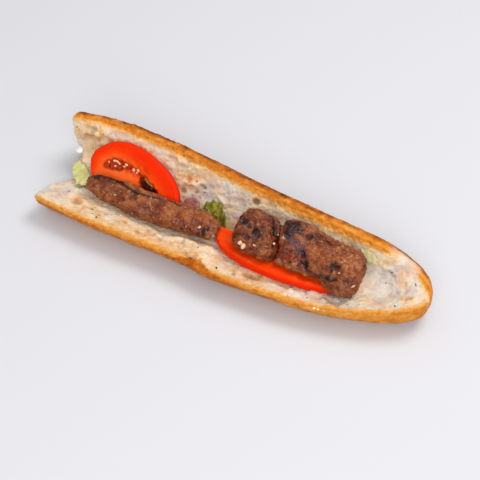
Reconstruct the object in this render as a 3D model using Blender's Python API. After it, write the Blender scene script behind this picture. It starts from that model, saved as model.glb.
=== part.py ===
"""Meatball sandwich: a split loaf, opened like a trough, with grilled minced-meat fingers, tomato
half-slices, lettuce and onion laid along its fold.

Frame: +X runs along the loaf to its whole, rounded end, +Y to the raised half, +Z up. The origin is
the middle of the base. Lengths below are in millimetres where their names end in _mm, and else in
metres.

The fillings are made first, each at its own place. What is softer then gives way to what is firmer:
the meat and the leaves to the tomato, the leaves and the onion to the meat, and at last the crumb
of the loaf to them all. A small gap stays between any two pieces.
"""

import math

import bmesh
import bpy
from mathutils import Euler, Vector, noise
from mathutils.bvhtree import BVHTree

MM = 0.001
GAP = 0.45 * MM  # left between two pieces that touch
NOISE_SHIFT = Vector((3.1, 7.7, 1.9))

# Loaf: its ends, and the line that its nose comes to.
TORN_END = -134 * MM
NOSE_TIP = 141 * MM
NOSE_Y = -8 * MM
TORN_RUN = 42 * MM  # the stretch over which the ragged end eases into the even loaf
TORN_NOTCH = 11 * MM  # how far the torn end is set back at the fold

# Loaf: reach of each lip from the nose's line, before the nose narrows it.
FRONT_REACH_MM = (
    (-134, 38), (-100, 40), (-60, 40), (-30, 39.2), (-12, 40), (2, 41.8), (14, 41), (30, 40.2),
    (60, 40.2), (76, 39.8), (90, 38.6), (105, 37.2), (120, 35.6), (141, 33.5),
)
BACK_REACH_MM = ((-134, 24), (-118, 28), (-98, 29.5), (-54, 28.5), (0, 24.5), (50, 22.5), (141, 21))
FRONT_NOSE = (10 * MM, 2.1)  # where the nose starts to narrow, and how blunt it is
BACK_NOSE = (80 * MM, 2.6)
LIFTED_NOSE = (92 * MM, 2.4)

# Loaf: heights of the two lips, of the fold between them, and of the lifted nose.
BACK_LIP_MM = ((-134, 44), (-60, 44), (0, 40.5), (70, 36), (110, 32), (141, 25))
FRONT_LIP_MM = ((-134, 21), (-20, 20), (70, 20), (110, 22), (141, 25))
FOLD_MM = ((-134, 11), (-60, 12.5), (80, 12), (108, 14), (124, 20), (141, 25))
FOLD_Y = -4 * MM
NOSE_LIFT = 17 * MM
BACK_BULGE = 12 * MM  # how far the raised half's crust stands out behind its lip
CRUST_LIP = 3 * MM  # the crust's thickness where the knife went through it

# Loaf: how finely it is divided, and its relief.
STATIONS = 58
ROUND_POINTS = 24  # on the crust, and as many again on the crumb
END_ROWS = 3
CRUST_RELIEF = 0.5 * MM
CRUMB_RELIEF = 1.2 * MM
TEAR_RELIEF = 2.2 * MM

# Hollows and ridges of the crumb: place along and across, half length, half width, height.
CRUMB_FORMS_MM = (
    (32, -38, 9, 4, -3.0),
    (19, 10, 5, 4, -2.0),
    (-108, 6, 12, 5, -2.5),
    (-112, 16, 16, 4, 2.0),
    (-31, 11, 7, 4, -2.0),
    (-8, -32, 13, 5, 3.0),
    (-100, -40, 6, 4, -2.0),
    (112, -8, 12, 12, -2.0),
)

# Meat: place, turn in degrees, half sizes (length, width, thickness), how square the ends are
# (left, right) and the section is, how far the right end bends to +Y, and the height of its crags.
MEATS = {
    "meat_left": ((-52.5, -18.8, 21.9), (20, 0, -1.4), (53, 9.9, 8), (3.2, 3.2), 2.2, 2.8, 0.8),
    "meat_middle": ((22.2, -13.6, 30.5), (30, 10, -4), (14, 15, 12.8), (3.2, 3.2), 2.7, 0, 1.4),
    "meat_right": ((65.6, -11.8, 30.2), (30, 0, -1.2), (30.4, 17, 9.5), (5.5, 5.5), 3.0, 0, 1.1),
}
# The middle meat's lobe towards the right one: its middle and radius.
LOBE_MM = ((33, -21.5, 28.5), 8)
# A crease in the upper face of the right meat: its two ends, half width and depth.
CREASE_MM = ((-27, -8), (16, -5), 2.4, 3.2)
# Garlic on the middle meat: the direction that each bit lies in, and its half length.
GARLIC = (((-0.25, -0.93, 0.25), 2.0), ((-0.05, -1.0, 0.15), 2.3), ((0.9, -0.55, 0.5), 1.7))

# Tomato half-slices: place of the straight edge's middle, turn, depth of the seed pocket, and the
# radius by the angle from the straight edge's +X end, as (degrees, radius).
TOMATOES = {
    "tomato_left": (
        (-77, -12.8, 15.5),
        (44, 0, 0),
        1.5,
        (
            (0, 40), (18, 38.8), (36, 36.5), (54, 34.2), (68, 33.2), (83, 33.8), (97, 35.3),
            (108, 37), (120, 38.8), (132, 39.8), (142, 40.2), (149, 40.2), (155, 39), (161, 36.3),
            (166, 33.2), (172, 30.5), (180, 29.5),
        ),
    ),
    "tomato_right": (
        (37, -4.5, 17),
        (-8, 0, 180),
        0,
        (
            (0, 46.5), (15, 46.1), (30, 42.7), (45, 37.5), (60, 33.2), (75, 30.7), (90, 30.0),
            (105, 31.1), (120, 33.8), (135, 38.0), (150, 42.7), (165, 45.4), (180, 45.5),
        ),
    ),
}
SLICE_THICK = 7 * MM
SLICE_RINGS = (0.3, 0.42, 0.52, 0.64, 0.74, 0.86, 0.95)  # as shares of the radius
SLICE_SIDES = 22
# The seed pocket: its middle and half width, as an angle from the straight edge and as a share of
# the radius.
POCKET = (98, 50, 0.56, 0.22)
SEEDS = 9

# Leaves: line of the middle, half widths along it, rise of the far side over the near one, and
# height of the waves.
LEAVES = {
    "lettuce_end": (
        ((-125.5, -2, 16.5), (-120, -7, 15.5), (-112, -14.5, 17), (-106, -17.5, 18.5)),
        (3.5, 5.5, 6, 4),
        0.1,
        0.9,
    ),
    "lettuce_middle": (
        ((-24, 0.5, 21), (-17, 0.5, 21.5), (-10.5, -2.5, 20.5), (-5, -7, 20), (0, -11.5, 19.5)),
        (3.5, 6, 3, 4.5, 4),
        0.3,
        1.2,
    ),
    "lettuce_sliver": (
        ((87, 6.5, 28), (94, 5.5, 27), (101, 3.5, 26)),
        (2.5, 3.5, 2),
        1.1,
        0.5,
    ),
}
LEAF_THICK = 0.9 * MM
LEAF_ROWS = 7

# Onion: a piece of a ring each, by its middle, turn, radius of the ring, half angle and height.
ONIONS = {
    "onion_end": ((-127.5, 6, 21), (-50, 0, -90), 12, 16, 7),
    "onion_left": ((-32, -2, 21), (-50, 0, -95), 26, 14, 10),
    "onion_middle": ((1, 1.5, 22.5), (-45, 0, -90), 14, 18, 8),
}
ONION_THICK = 1.6 * MM


def clear_scene():
    for obj in list(bpy.data.objects):
        bpy.data.objects.remove(obj)


def material(name, colour, roughness):
    """A plain surface of one colour."""
    made = bpy.data.materials.new(name)
    made.use_nodes = True
    shader = made.node_tree.nodes["Principled BSDF"]
    shader.inputs["Base Color"].default_value = (*colour, 1.0)
    shader.inputs["Roughness"].default_value = roughness
    shader.inputs["Metallic"].default_value = 0.0
    return made


def face_outwards(mesh):
    bmesh.ops.recalc_face_normals(mesh, faces=mesh.faces)
    if mesh.calc_volume(signed=True) < 0:
        bmesh.ops.reverse_faces(mesh, faces=mesh.faces)
    mesh.normal_update()


def add_object(name, mesh, finish):
    """The mesh as an object of its own, in triangles that face outwards."""
    bmesh.ops.triangulate(mesh, faces=mesh.faces)
    face_outwards(mesh)
    data = bpy.data.meshes.new(name)
    mesh.to_mesh(data)
    mesh.free()
    data.materials.append(finish)
    data.shade_smooth()
    obj = bpy.data.objects.new(name, data)
    bpy.context.scene.collection.objects.link(obj)
    return obj


def place(obj, location_mm, turn_deg):
    """Puts the object in its place, turned about its own Z first and X last."""
    obj.location = Vector(location_mm) * MM
    obj.rotation_mode = "ZYX"
    obj.rotation_euler = Euler([math.radians(angle) for angle in turn_deg])
    bpy.context.view_layer.update()


def mix(start, end, share):
    return start + (end - start) * share


def ease(share):
    share = min(max(share, 0.0), 1.0)
    return share * share * (3 - 2 * share)


def bump(distance):
    """1 in the middle, falling to 0 over about twice the unit distance."""
    return math.exp(-distance * distance)


def along(x, stations_mm):
    """A smooth curve through (place, value) stations in millimetres, read at x."""
    return curve(x / MM, stations_mm) * MM


def curve(x, stations):
    """A smooth curve through (place, value) stations, read at x."""
    places = [place for place, _ in stations]
    values = [value for _, value in stations]
    last = len(places) - 1
    i = max(0, min(last - 1, sum(x > p for p in places[1:])))

    def slope(k):
        before, after = max(k - 1, 0), min(k + 1, last)
        return (values[after] - values[before]) / (places[after] - places[before])

    run = places[i + 1] - places[i]
    t = min(max((x - places[i]) / run, 0.0), 1.0)
    return (
        values[i] * (1 + 2 * t) * (1 - t) ** 2
        + slope(i) * run * t * (1 - t) ** 2
        + values[i + 1] * t * t * (3 - 2 * t)
        - slope(i + 1) * run * t * t * (1 - t)
    )


def rough(point, grain, octaves=3):
    """Noise from about -1 to 1, with lumps of the size of grain."""
    return noise.fractal(point / grain + NOISE_SHIFT, 0.9, 2.0, octaves)


def join_rings(mesh, rings):
    """Faces between each ring of points and the next."""
    for one, other in zip(rings, rings[1:]):
        for k in range(len(one)):
            after = (k + 1) % len(one)
            mesh.faces.new((one[k], one[after], other[after], other[k]))


# The loaf.


def nose_share(x, nose):
    """1 along the loaf, falling to 0 at the tip of the nose like the end of an ellipse."""
    start, power = nose
    share = min(max((x - start) / (NOSE_TIP - start), 0.0), 1.0)
    return (1 - share**power) ** (1 / power)


def crust_profile(x):
    """The hull of the loaf at x: from the front lip, under the loaf, to the back lip, as (y, z)."""
    front_y = NOSE_Y - along(x, FRONT_REACH_MM) * nose_share(x, FRONT_NOSE)
    back_share = nose_share(x, BACK_NOSE)
    back_y = NOSE_Y + along(x, BACK_REACH_MM) * back_share
    front_z, back_z = along(x, FRONT_LIP_MM), along(x, BACK_LIP_MM)
    under = NOSE_LIFT * (1 - nose_share(x, LIFTED_NOSE))
    bulge = BACK_BULGE * back_share
    floor_front = mix(NOSE_Y, front_y, 0.4)
    floor_back = mix(NOSE_Y, back_y, 0.8)
    bulge_z = mix(under, back_z, 0.52)
    quarter, quarter_turn = ROUND_POINTS // 4, math.pi / 2
    points = []
    for k in range(quarter):
        turn = quarter_turn * (1 - k / quarter)
        y = floor_front + (front_y - floor_front) * math.sin(turn)
        points.append((y, front_z - (front_z - under) * math.cos(turn)))
    for k in range(quarter):
        points.append((mix(floor_front, floor_back, k / quarter), under))
    for k in range(quarter):
        turn = quarter_turn * k / quarter
        y = floor_back + (back_y + bulge - floor_back) * math.sin(turn)
        points.append((y, bulge_z - (bulge_z - under) * math.cos(turn)))
    for k in range(quarter):
        turn = quarter_turn * k / (quarter - 1)
        y = back_y + bulge * math.cos(turn)
        points.append((y, bulge_z + (back_z - bulge_z) * math.sin(turn)))
    return points


def crumb_profile(x, crust):
    """The cut faces of the loaf at x: from the back lip, through the fold, to the front lip."""
    (front_y, front_z), (back_y, back_z) = crust[0], crust[-1]
    lip = CRUST_LIP * nose_share(x, BACK_NOSE)
    fold_y = mix(NOSE_Y, FOLD_Y, nose_share(x, BACK_NOSE))
    fold_z = along(x, FOLD_MM)
    half = ROUND_POINTS // 2
    points = []
    for k in range(half):
        share = k / half
        y = mix(back_y - lip, fold_y, share)
        points.append((y, fold_z + (back_z - lip / 2 - fold_z) * (1 - share) ** 1.3))
    for k in range(half):
        share = k / (half - 1)
        y = mix(fold_y, front_y + lip / 2, share)
        points.append((y, fold_z + (front_z - fold_z) * share**1.6))
    return points


def torn_end_x(y, z):
    """Where the ragged end of the loaf lies for a point of its section."""
    back = ease((y - 2 * MM) / (10 * MM))
    front = ease((-14 * MM - y) / (14 * MM))
    ragged = rough(Vector((0, y, z)), 9 * MM) * TEAR_RELIEF
    return TORN_END + TORN_NOTCH * (1 - back) * (1 - front * 0.75) + ragged


def station_places():
    """Places along the loaf, closer together towards the nose."""
    turns = [k / (STATIONS - 1) * math.pi / 2 for k in range(STATIONS)]
    return [mix(TORN_END, NOSE_TIP, math.sin(turn * 0.985) ** 0.93) for turn in turns]


def crumb_form(x, y):
    """Height of the hollows and ridges pressed and torn into the crumb."""
    height = 0.0
    for place_x, place_y, half_x, half_y, high in CRUMB_FORMS_MM:
        far = math.hypot((x / MM - place_x) / half_x, (y / MM - place_y) / half_y)
        height += high * MM * bump(far)
    return height


def make_loaf(finish):
    """The loaf: one ring of points for each station, with a torn end and a rounded nose."""
    mesh = bmesh.new()
    crumb_points = set()
    rings = []
    for x in station_places():
        crust = crust_profile(x)
        ring = []
        for y, z in crust + crumb_profile(x, crust):
            share = min((x - TORN_END) / TORN_RUN, 1.0)
            at = mix(torn_end_x(y, z), TORN_END + TORN_RUN, share) if share < 1 else x
            ring.append(mesh.verts.new((at, y, z)))
        crumb_points.update(ring[ROUND_POINTS:])
        rings.append(ring)
    join_rings(mesh, rings)
    close_torn_end(mesh, rings[0], crumb_points)
    mesh.faces.new(rings[-1])
    face_outwards(mesh)
    relieve_loaf(mesh, crumb_points)
    return add_object("bread", mesh, finish)


def close_torn_end(mesh, ring, crumb_points):
    """Rows of ragged crumb across the section, from its crust side to its cut side."""
    crust_side = ring[:ROUND_POINTS]
    cut_side = ring[ROUND_POINTS:][::-1]
    last = ROUND_POINTS - 1
    rows = [crust_side]
    for row in range(1, END_ROWS):
        share = row / END_ROWS
        made = [None]
        for outer, inner in zip(crust_side[1:last], cut_side[1:last]):
            at = outer.co.lerp(inner.co, share)
            at.x += rough(at, 6 * MM) * TEAR_RELIEF - 1.2 * MM * math.sin(math.pi * share)
            made.append(mesh.verts.new(at))
        crumb_points.update(made[1:])
        rows.append([*made, None])
    rows.append(cut_side)
    for lower, upper in zip(rows, rows[1:]):
        for k in range(1, last - 1):
            mesh.faces.new((lower[k], lower[k + 1], upper[k + 1], upper[k]))
    # The two lips close the rows at their ends.
    for k, beside in ((0, 1), (last, last - 1)):
        mesh.faces.new([crust_side[k]] + [row[beside] for row in rows] + [cut_side[k]])


def relieve_loaf(mesh, crumb_points):
    """Uneven crust and crumb over a flat base."""
    moves = {}
    for vert in mesh.verts:
        at = vert.co
        if vert in crumb_points:
            high = rough(at, 8 * MM) * CRUMB_RELIEF
            high += crumb_form(at.x, at.y) * nose_share(at.x, LIFTED_NOSE)
        else:
            high = rough(at, 16 * MM) * CRUST_RELIEF
        moves[vert] = vert.normal * high
    for vert, move in moves.items():
        on_base = vert.co.z < 0.1 * MM
        vert.co += move
        if on_base:
            vert.co.z = 0.0


# The fillings.


def make_meat(name, half_mm, ends, section, bend_mm, crag_mm, finish):
    """A finger or ball of minced meat along X: rings of points, with crags."""
    half = Vector(half_mm) * MM
    ring_count = 16 + int(half_mm[0] / 4.5)
    sides = 20
    mesh = bmesh.new()
    rings = []
    for k in range(ring_count):
        turn = (k / (ring_count - 1) - 0.5) * math.pi * 0.96
        share = math.sin(turn)
        power = ends[share > 0]
        girth = (1 - abs(share) ** power) ** (1 / power)
        ring = []
        for side in range(sides):
            angle = 2 * math.pi * side / sides
            round_off = (abs(math.cos(angle)) ** section + abs(math.sin(angle)) ** section)
            out = girth * round_off ** (-1 / section)
            y = half.y * out * math.cos(angle) + bend_mm * MM * ease(share / 0.7)
            ring.append(mesh.verts.new((half.x * share, y, half.z * out * math.sin(angle))))
        rings.append(ring)
    join_rings(mesh, rings)
    mesh.faces.new(rings[0])
    mesh.faces.new(rings[-1])
    face_outwards(mesh)
    seed = Vector((len(name), half.x * 700, 0))
    for vert in mesh.verts:
        lumps = rough(vert.co + seed * MM, 9 * MM) + 0.4 * rough(vert.co + seed * MM, 3.5 * MM)
        vert.co += vert.normal * lumps * crag_mm * MM
        if name == "meat_right":
            vert.co.z -= crease(vert.co) * ease(vert.co.z / (3 * MM))
    return add_object(name, mesh, finish)


def crease(at):
    """Depth of the crease at a point of the right meat."""
    (x0, y0), (x1, y1), half_width, depth = CREASE_MM
    x, y = at.x / MM, at.y / MM
    share = min(max((x - x0) / (x1 - x0), 0.0), 1.0)
    return depth * MM * bump(math.hypot(x - mix(x0, x1, share), y - mix(y0, y1, share)) / half_width)


def fuse(obj, bits):
    """Joins small solids to the object, and removes them."""
    helpers = bpy.data.collections.new("bits")
    bpy.context.scene.collection.children.link(helpers)
    for bit in bits:
        helpers.objects.link(bit)
        bpy.context.scene.collection.objects.unlink(bit)
    union = obj.modifiers.new("bits", "BOOLEAN")
    union.operation = "UNION"
    union.operand_type = "COLLECTION"
    union.collection = helpers
    union.solver = "MANIFOLD"
    apply_modifiers(obj)
    for bit in list(helpers.objects):
        bpy.data.objects.remove(bit)
    bpy.data.collections.remove(helpers)


def apply_modifiers(obj):
    bpy.context.view_layer.update()
    graph = bpy.context.evaluated_depsgraph_get()
    made = bpy.data.meshes.new_from_object(obj.evaluated_get(graph))
    obj.modifiers.clear()
    old, obj.data = obj.data, made
    bpy.data.meshes.remove(old)
    mesh = bmesh.new()
    mesh.from_mesh(made)
    bmesh.ops.triangulate(mesh, faces=mesh.faces)
    mesh.to_mesh(made)
    mesh.free()
    made.shade_smooth()


def add_bit(at, half_length, flat, turn, finish):
    """A seed or a bit of garlic: a small rounded solid."""
    mesh = bmesh.new()
    bmesh.ops.create_icosphere(mesh, subdivisions=1, radius=half_length)
    for vert in mesh.verts:
        vert.co.y *= 0.65
        vert.co.z *= flat
    bit = add_object("bit", mesh, finish)
    bit.location = at
    bit.rotation_euler = turn
    return bit


def add_lump(at, radius, finish):
    """A rough ball of minced meat."""
    mesh = bmesh.new()
    bmesh.ops.create_icosphere(mesh, subdivisions=3, radius=radius)
    for vert in mesh.verts:
        vert.co *= 1 + 0.12 * rough(vert.co, 6 * MM)
    lump = add_object("lump", mesh, finish)
    lump.location = at
    return lump


def add_garlic(meat, finish):
    """Bits of garlic on the meat, and the meat's lobe."""
    tree = surface(meat)
    at_mm, radius_mm = LOBE_MM
    bits = [add_lump(Vector(at_mm) * MM, radius_mm * MM, finish)]
    for number, (direction, half_length) in enumerate(GARLIC):
        way = Vector(direction).normalized()
        at, *_ = tree.ray_cast(meat.location + way * 0.1, -way)
        turn = Euler((0.4 * number, 0.3, 1.1 * number))
        bits.append(add_bit(at, half_length * MM, 0.8, turn, finish))
    fuse(meat, bits)


def slice_rim(angle, outline):
    """A point of the round side of a half-slice."""
    reach = curve(math.degrees(angle), outline) * MM
    return Vector((reach * math.cos(angle), reach * math.sin(angle), 0))


def make_tomato(name, outline, pocket_mm, finish):
    """Half a slice: its straight cut along X, its round side to +Y, with a sunken seed pocket."""
    mesh = bmesh.new()
    half_thick = SLICE_THICK / 2
    middle, half_angle, place_share, half_share = POCKET

    def height(angle, share):
        far_angle = (math.degrees(angle) - middle) / half_angle
        far_share = (share - place_share) / half_share
        sunk = ease(2.4 * (1 - math.hypot(far_angle, far_share)))
        return half_thick - sunk * pocket_mm * MM

    top, bottom = (mesh.verts.new((0, 0, z)) for z in (half_thick, -half_thick))
    columns = []
    for k in range(SLICE_SIDES + 1):
        angle = math.pi * k / SLICE_SIDES
        path = [(share, height(angle, share)) for share in SLICE_RINGS]
        path += [(0.99, half_thick * 0.6), (1.0, 0.0), (0.985, -half_thick * 0.65)]
        path += [(share, -half_thick) for share in SLICE_RINGS[::-2]]
        rim = slice_rim(angle, outline)
        columns.append([mesh.verts.new((rim.x * share, rim.y * share, z)) for share, z in path])
    for one, other in zip(columns, columns[1:]):
        for k in range(len(one) - 1):
            mesh.faces.new((one[k], one[k + 1], other[k + 1], other[k]))
        mesh.faces.new((top, one[0], other[0]))
        mesh.faces.new((bottom, other[-1], one[-1]))
    mesh.faces.new((top, bottom, *columns[0][::-1]))
    mesh.faces.new((bottom, top, *columns[-1]))
    return add_object(name, mesh, finish)


def add_seeds(tomato, outline, pocket_mm, finish):
    """Seeds in two staggered rows along the pocket."""
    middle, half_angle, place_share, half_share = POCKET
    bits = []
    for k in range(SEEDS):
        angle = math.radians(middle + half_angle * 0.7 * (k / (SEEDS - 1) * 2 - 1))
        at = slice_rim(angle, outline) * (place_share + half_share * 0.4 * (-1) ** k)
        at.z = SLICE_THICK / 2 - pocket_mm * MM * 0.8
        turn = (tomato.matrix_world @ Euler((0, 0, angle)).to_matrix().to_4x4()).to_euler()
        bits.append(add_bit(tomato.matrix_world @ at, 1.7 * MM, 0.5, turn, finish))
    fuse(tomato, bits)


def make_leaf(name, line_mm, half_widths_mm, rise, wave_mm, finish):
    """A thin wavy sheet along a line, still without thickness."""
    mesh = bmesh.new()
    rows = []
    steps = 5 * (len(line_mm) - 1)
    for k in range(steps + 1):
        share = k / steps * (len(line_mm) - 1)
        i = min(int(share), len(line_mm) - 2)
        t = share - i
        middle = Vector(line_mm[i]).lerp(Vector(line_mm[i + 1]), t)
        way = Vector(line_mm[i + 1]) - Vector(line_mm[i])
        side = Vector((-way.y, way.x, 0)).normalized() + Vector((0, 0, rise))
        side.normalize()
        half_width = mix(half_widths_mm[i], half_widths_mm[i + 1], ease(t))
        half_width *= 0.35 + 0.65 * math.sin(math.pi * (0.12 + 0.76 * k / steps)) ** 0.5
        half_width *= 1 + 0.12 * math.sin(2.6 * k)
        row = []
        for across in range(LEAF_ROWS):
            off = across / (LEAF_ROWS - 1) * 2 - 1
            wave = wave_mm * math.sin(1.9 * k + 2.2 * off) * (0.35 + 0.65 * off * off)
            at = middle + side * off * half_width + Vector((0, 0, wave))
            row.append(mesh.verts.new(at * MM))
        rows.append(row)
    for one, other in zip(rows, rows[1:]):
        for k in range(LEAF_ROWS - 1):
            mesh.faces.new((one[k], one[k + 1], other[k + 1], other[k]))
    return add_object(name, mesh, finish)


def thicken(sheet):
    solid = sheet.modifiers.new("thickness", "SOLIDIFY")
    solid.thickness = LEAF_THICK
    solid.offset = 0.0
    apply_modifiers(sheet)


def make_onion(name, radius_mm, half_angle, height_mm, finish):
    """A piece of an onion ring, its thickness spun about the ring's axis."""
    mesh = bmesh.new()
    radius, half_height = radius_mm * MM, height_mm / 2 * MM
    # Its section is a long hexagon, from one thin end round to it again.
    section = ((0.5, -1), (1, -0.6), (1, 0.6), (0.5, 1), (0, 0.6), (0, -0.6))
    verts = []
    for out, up in section:
        verts.append(mesh.verts.new((radius + ONION_THICK * out, 0, half_height * up)))
    profile = mesh.faces.new(verts)
    turn = Euler((0, 0, math.radians(-half_angle))).to_matrix()
    bmesh.ops.rotate(mesh, verts=verts, matrix=turn)
    bmesh.ops.spin(
        mesh,
        geom=[profile, *profile.edges, *verts],
        axis=(0, 0, 1),
        angle=math.radians(2 * half_angle),
        steps=8,
    )
    bmesh.ops.translate(mesh, verts=mesh.verts, vec=(-radius, 0, 0))
    return add_object(name, mesh, finish)


# How the pieces lie against each other.


def world_points(obj):
    return [obj.matrix_world @ vert.co for vert in obj.data.vertices]


def surface(obj):
    triangles = [face.vertices for face in obj.data.polygons]
    return BVHTree.FromPolygons(world_points(obj), triangles)


def spots(obj, points):
    """The middle of each point, edge and face of the object, with the points that it lies between."""
    corners = [(k,) for k in range(len(points))]
    corners += [tuple(edge.vertices) for edge in obj.data.edges]
    corners += [tuple(face.vertices) for face in obj.data.polygons]
    return [(sum((points[k] for k in ring), Vector()) / len(ring), ring) for ring in corners]


def give_way(soft, firm, way, gap=GAP):
    """Moves the soft piece's points along way, until it is clear of the firm piece."""
    way = Vector(way).normalized()
    far = way * 0.5
    firm_tree = surface(firm)
    firm_spots = spots(firm, world_points(firm))
    for _ in range(12):
        points = world_points(soft)
        pushes = [0.0] * len(points)
        for spot, ring in spots(soft, points):
            hit, *_ = firm_tree.ray_cast(spot + far, -way)
            short = (hit - spot).dot(way) + gap if hit else 0.0
            for k in ring:
                pushes[k] = max(pushes[k], short)
        soft_tree = surface(soft)
        for spot, _ in firm_spots:
            hit, _, face, _ = soft_tree.ray_cast(spot - far, way)
            short = (spot - hit).dot(way) + gap if hit else 0.0
            for k in soft.data.polygons[face].vertices if hit else ():
                pushes[k] = max(pushes[k], short)
        if max(pushes) < 0.01 * MM:
            return
        back = soft.matrix_world.inverted()
        for vert, point, push in zip(soft.data.vertices, points, pushes):
            vert.co = back @ (point + way * push)


def stand_on_origin(objects):
    """Moves everything so that the middle of the base is the origin."""
    points = [point for obj in objects for point in world_points(obj)]
    low = [min(point[axis] for point in points) for axis in range(3)]
    high = [max(point[axis] for point in points) for axis in range(3)]
    base = Vector(((low[0] + high[0]) / 2, (low[1] + high[1]) / 2, low[2]))
    for obj in objects:
        obj.location -= base


def main():
    clear_scene()
    crumb = material("crumb", (0.80, 0.66, 0.49), 0.85)
    browned = material("browned_meat", (0.26, 0.11, 0.055), 0.65)
    tomato_red = material("tomato_flesh", (0.80, 0.075, 0.012), 0.3)
    leaf_green = material("lettuce_leaf", (0.36, 0.40, 0.06), 0.5)
    onion_pink = material("onion_flesh", (0.62, 0.45, 0.42), 0.35)

    tomatoes = {}
    for name, (at, turn, pocket, outline) in TOMATOES.items():
        tomatoes[name] = make_tomato(name, outline, pocket, tomato_red)
        place(tomatoes[name], at, turn)
        if pocket:
            add_seeds(tomatoes[name], outline, pocket, tomato_red)

    meats = {}
    for name, (at, turn, half, ends, section, bend, crag) in MEATS.items():
        meats[name] = make_meat(name, half, ends, section, bend, crag, browned)
        place(meats[name], at, turn)
    add_garlic(meats["meat_middle"], browned)
    give_way(meats["meat_left"], tomatoes["tomato_left"], (0, -1, 1))
    give_way(meats["meat_left"], tomatoes["tomato_right"], (-1, 0, 0))
    give_way(meats["meat_middle"], tomatoes["tomato_right"], (0, 0, 1))
    give_way(meats["meat_right"], tomatoes["tomato_right"], (0, 0, 1))
    give_way(meats["meat_right"], meats["meat_middle"], (1, 0, 0))

    leaves = {}
    for name, (line, half_widths, rise, wave) in LEAVES.items():
        leaves[name] = make_leaf(name, line, half_widths, rise, wave, leaf_green)
        bpy.context.view_layer.update()
        for firm in (*meats.values(), *tomatoes.values()):
            give_way(leaves[name], firm, (0, 0, -1), GAP + LEAF_THICK)
        thicken(leaves[name])

    onions = {}
    for name, (at, turn, radius, half_angle, high) in ONIONS.items():
        onions[name] = make_onion(name, radius, half_angle, high, onion_pink)
        place(onions[name], at, turn)

    bread = make_loaf(crumb)
    fillings = [*tomatoes.values(), *meats.values(), *leaves.values(), *onions.values()]
    for filling in fillings:
        give_way(bread, filling, (0, 0, -1))
    stand_on_origin([bread, *fillings])


main()
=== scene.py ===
"""Meatball sandwich: a split baguette, opened like a trough, with grilled minced-meat fingers, tomato
half-slices, lettuce and onion along its fold.

Frame: +X runs along the loaf to its whole, rounded end, +Y to the raised half, +Z up. Every piece
starts from the solid that it stands for, remeshed finely. Names that end in _mm, and the points that the
shaping functions work on, are millimetres in the drawing's frame, whose origin lies DRAWN_AT_MM before
the middle of the base. Names that end in _PX are pixels of the camera's frame.
"""

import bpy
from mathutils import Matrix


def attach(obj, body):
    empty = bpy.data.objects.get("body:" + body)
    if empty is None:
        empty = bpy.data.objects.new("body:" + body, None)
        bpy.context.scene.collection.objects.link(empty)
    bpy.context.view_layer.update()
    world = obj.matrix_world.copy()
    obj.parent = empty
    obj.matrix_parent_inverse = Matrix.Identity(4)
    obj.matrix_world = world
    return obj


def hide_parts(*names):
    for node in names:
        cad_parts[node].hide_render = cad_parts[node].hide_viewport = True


bl_info = {
    "name": "Meatball sandwich",
    "version": (1, 0, 0),
    "blender": (4, 5, 0),
    "location": "View3D > Sidebar > Sandwich",
    "description": "Builds a split baguette with grilled meat, tomato, lettuce and onion",
    "category": "Add Mesh",
}

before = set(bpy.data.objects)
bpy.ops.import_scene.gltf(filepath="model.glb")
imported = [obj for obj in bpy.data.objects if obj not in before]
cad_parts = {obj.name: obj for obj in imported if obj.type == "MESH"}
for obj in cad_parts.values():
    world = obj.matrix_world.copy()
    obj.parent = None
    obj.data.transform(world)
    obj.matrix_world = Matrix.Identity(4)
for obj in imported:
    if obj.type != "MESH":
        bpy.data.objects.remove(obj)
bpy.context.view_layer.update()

import math
import random

import bpy
import numpy as np
from mathutils import Euler, Matrix, Vector, noise
from mathutils.bvhtree import BVHTree

MM = 0.001
DRAWN_AT_MM = np.array((2.18, -7.99, 0.0))

# The camera: direction, distance and the shift of its frame.
CAMERA_TURN_DEG = 27.5
CAMERA_RISE_DEG = 50
CAMERA_DISTANCE = 0.7752
CAMERA_LENS_MM = 85
CAMERA_SHIFT = (0.00833, -0.00417)
SENSOR_MM = 36
# Its frame: how wide, where its axis meets it, and how much of the sandwich a pixel spans.
FRAME_PX, AXIS_PX, MM_PER_PX = 480, (236, 238), 0.684

# The lamps: place, width and power as a share of the key light's. The sky lights all round.
LAMPS = (
    ("key", (0.35, 0.5, 1.25), 0.6, 1.0),
    ("fill", (0.5, -1.0, 0.9), 1.0, 1.3),
    ("top", (0.1, 0.0, 1.5), 1.2, 0.36),
)
SKY_STRENGTH = 0.52
FLOOR_WIDTH = 6

# The loaf's hull: reach and height of its lips along it, as (place, value).
TORN_END, NOSE_TIP, NOSE_Y = -134, 141, -8
FRONT_REACH = ((-134, 38), (-100, 40), (-60, 40), (-30, 39.2), (-12, 40), (2, 41.8), (14, 41), (30, 40.2),
               (60, 40.2), (76, 39.8), (90, 38.6), (105, 37.2), (120, 35.6), (141, 33.5))
BACK_REACH = ((-134, 24), (-118, 28), (-98, 29.5), (-54, 28.5), (0, 24.5), (50, 22.5), (141, 21))
FRONT_NOSE, BACK_NOSE, LIFTED_NOSE = (10, 2.1), (80, 2.6), (92, 2.4)
BACK_LIP = ((-134, 44), (-60, 44), (0, 40.5), (70, 36), (110, 32), (141, 25))
FRONT_LIP = ((-134, 21), (-20, 20), (70, 20), (110, 22), (141, 25))
NOSE_LIFT, BACK_BULGE, CRUST_LIP = 17, 12, 3
# The flat of the base towards each lip, and the height of the back's bulge, as shares.
FLAT_FRONT, FLAT_BACK, BULGE_HEIGHT = 0.4, 0.8, 0.52
TURN_STEPS = 6
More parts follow.
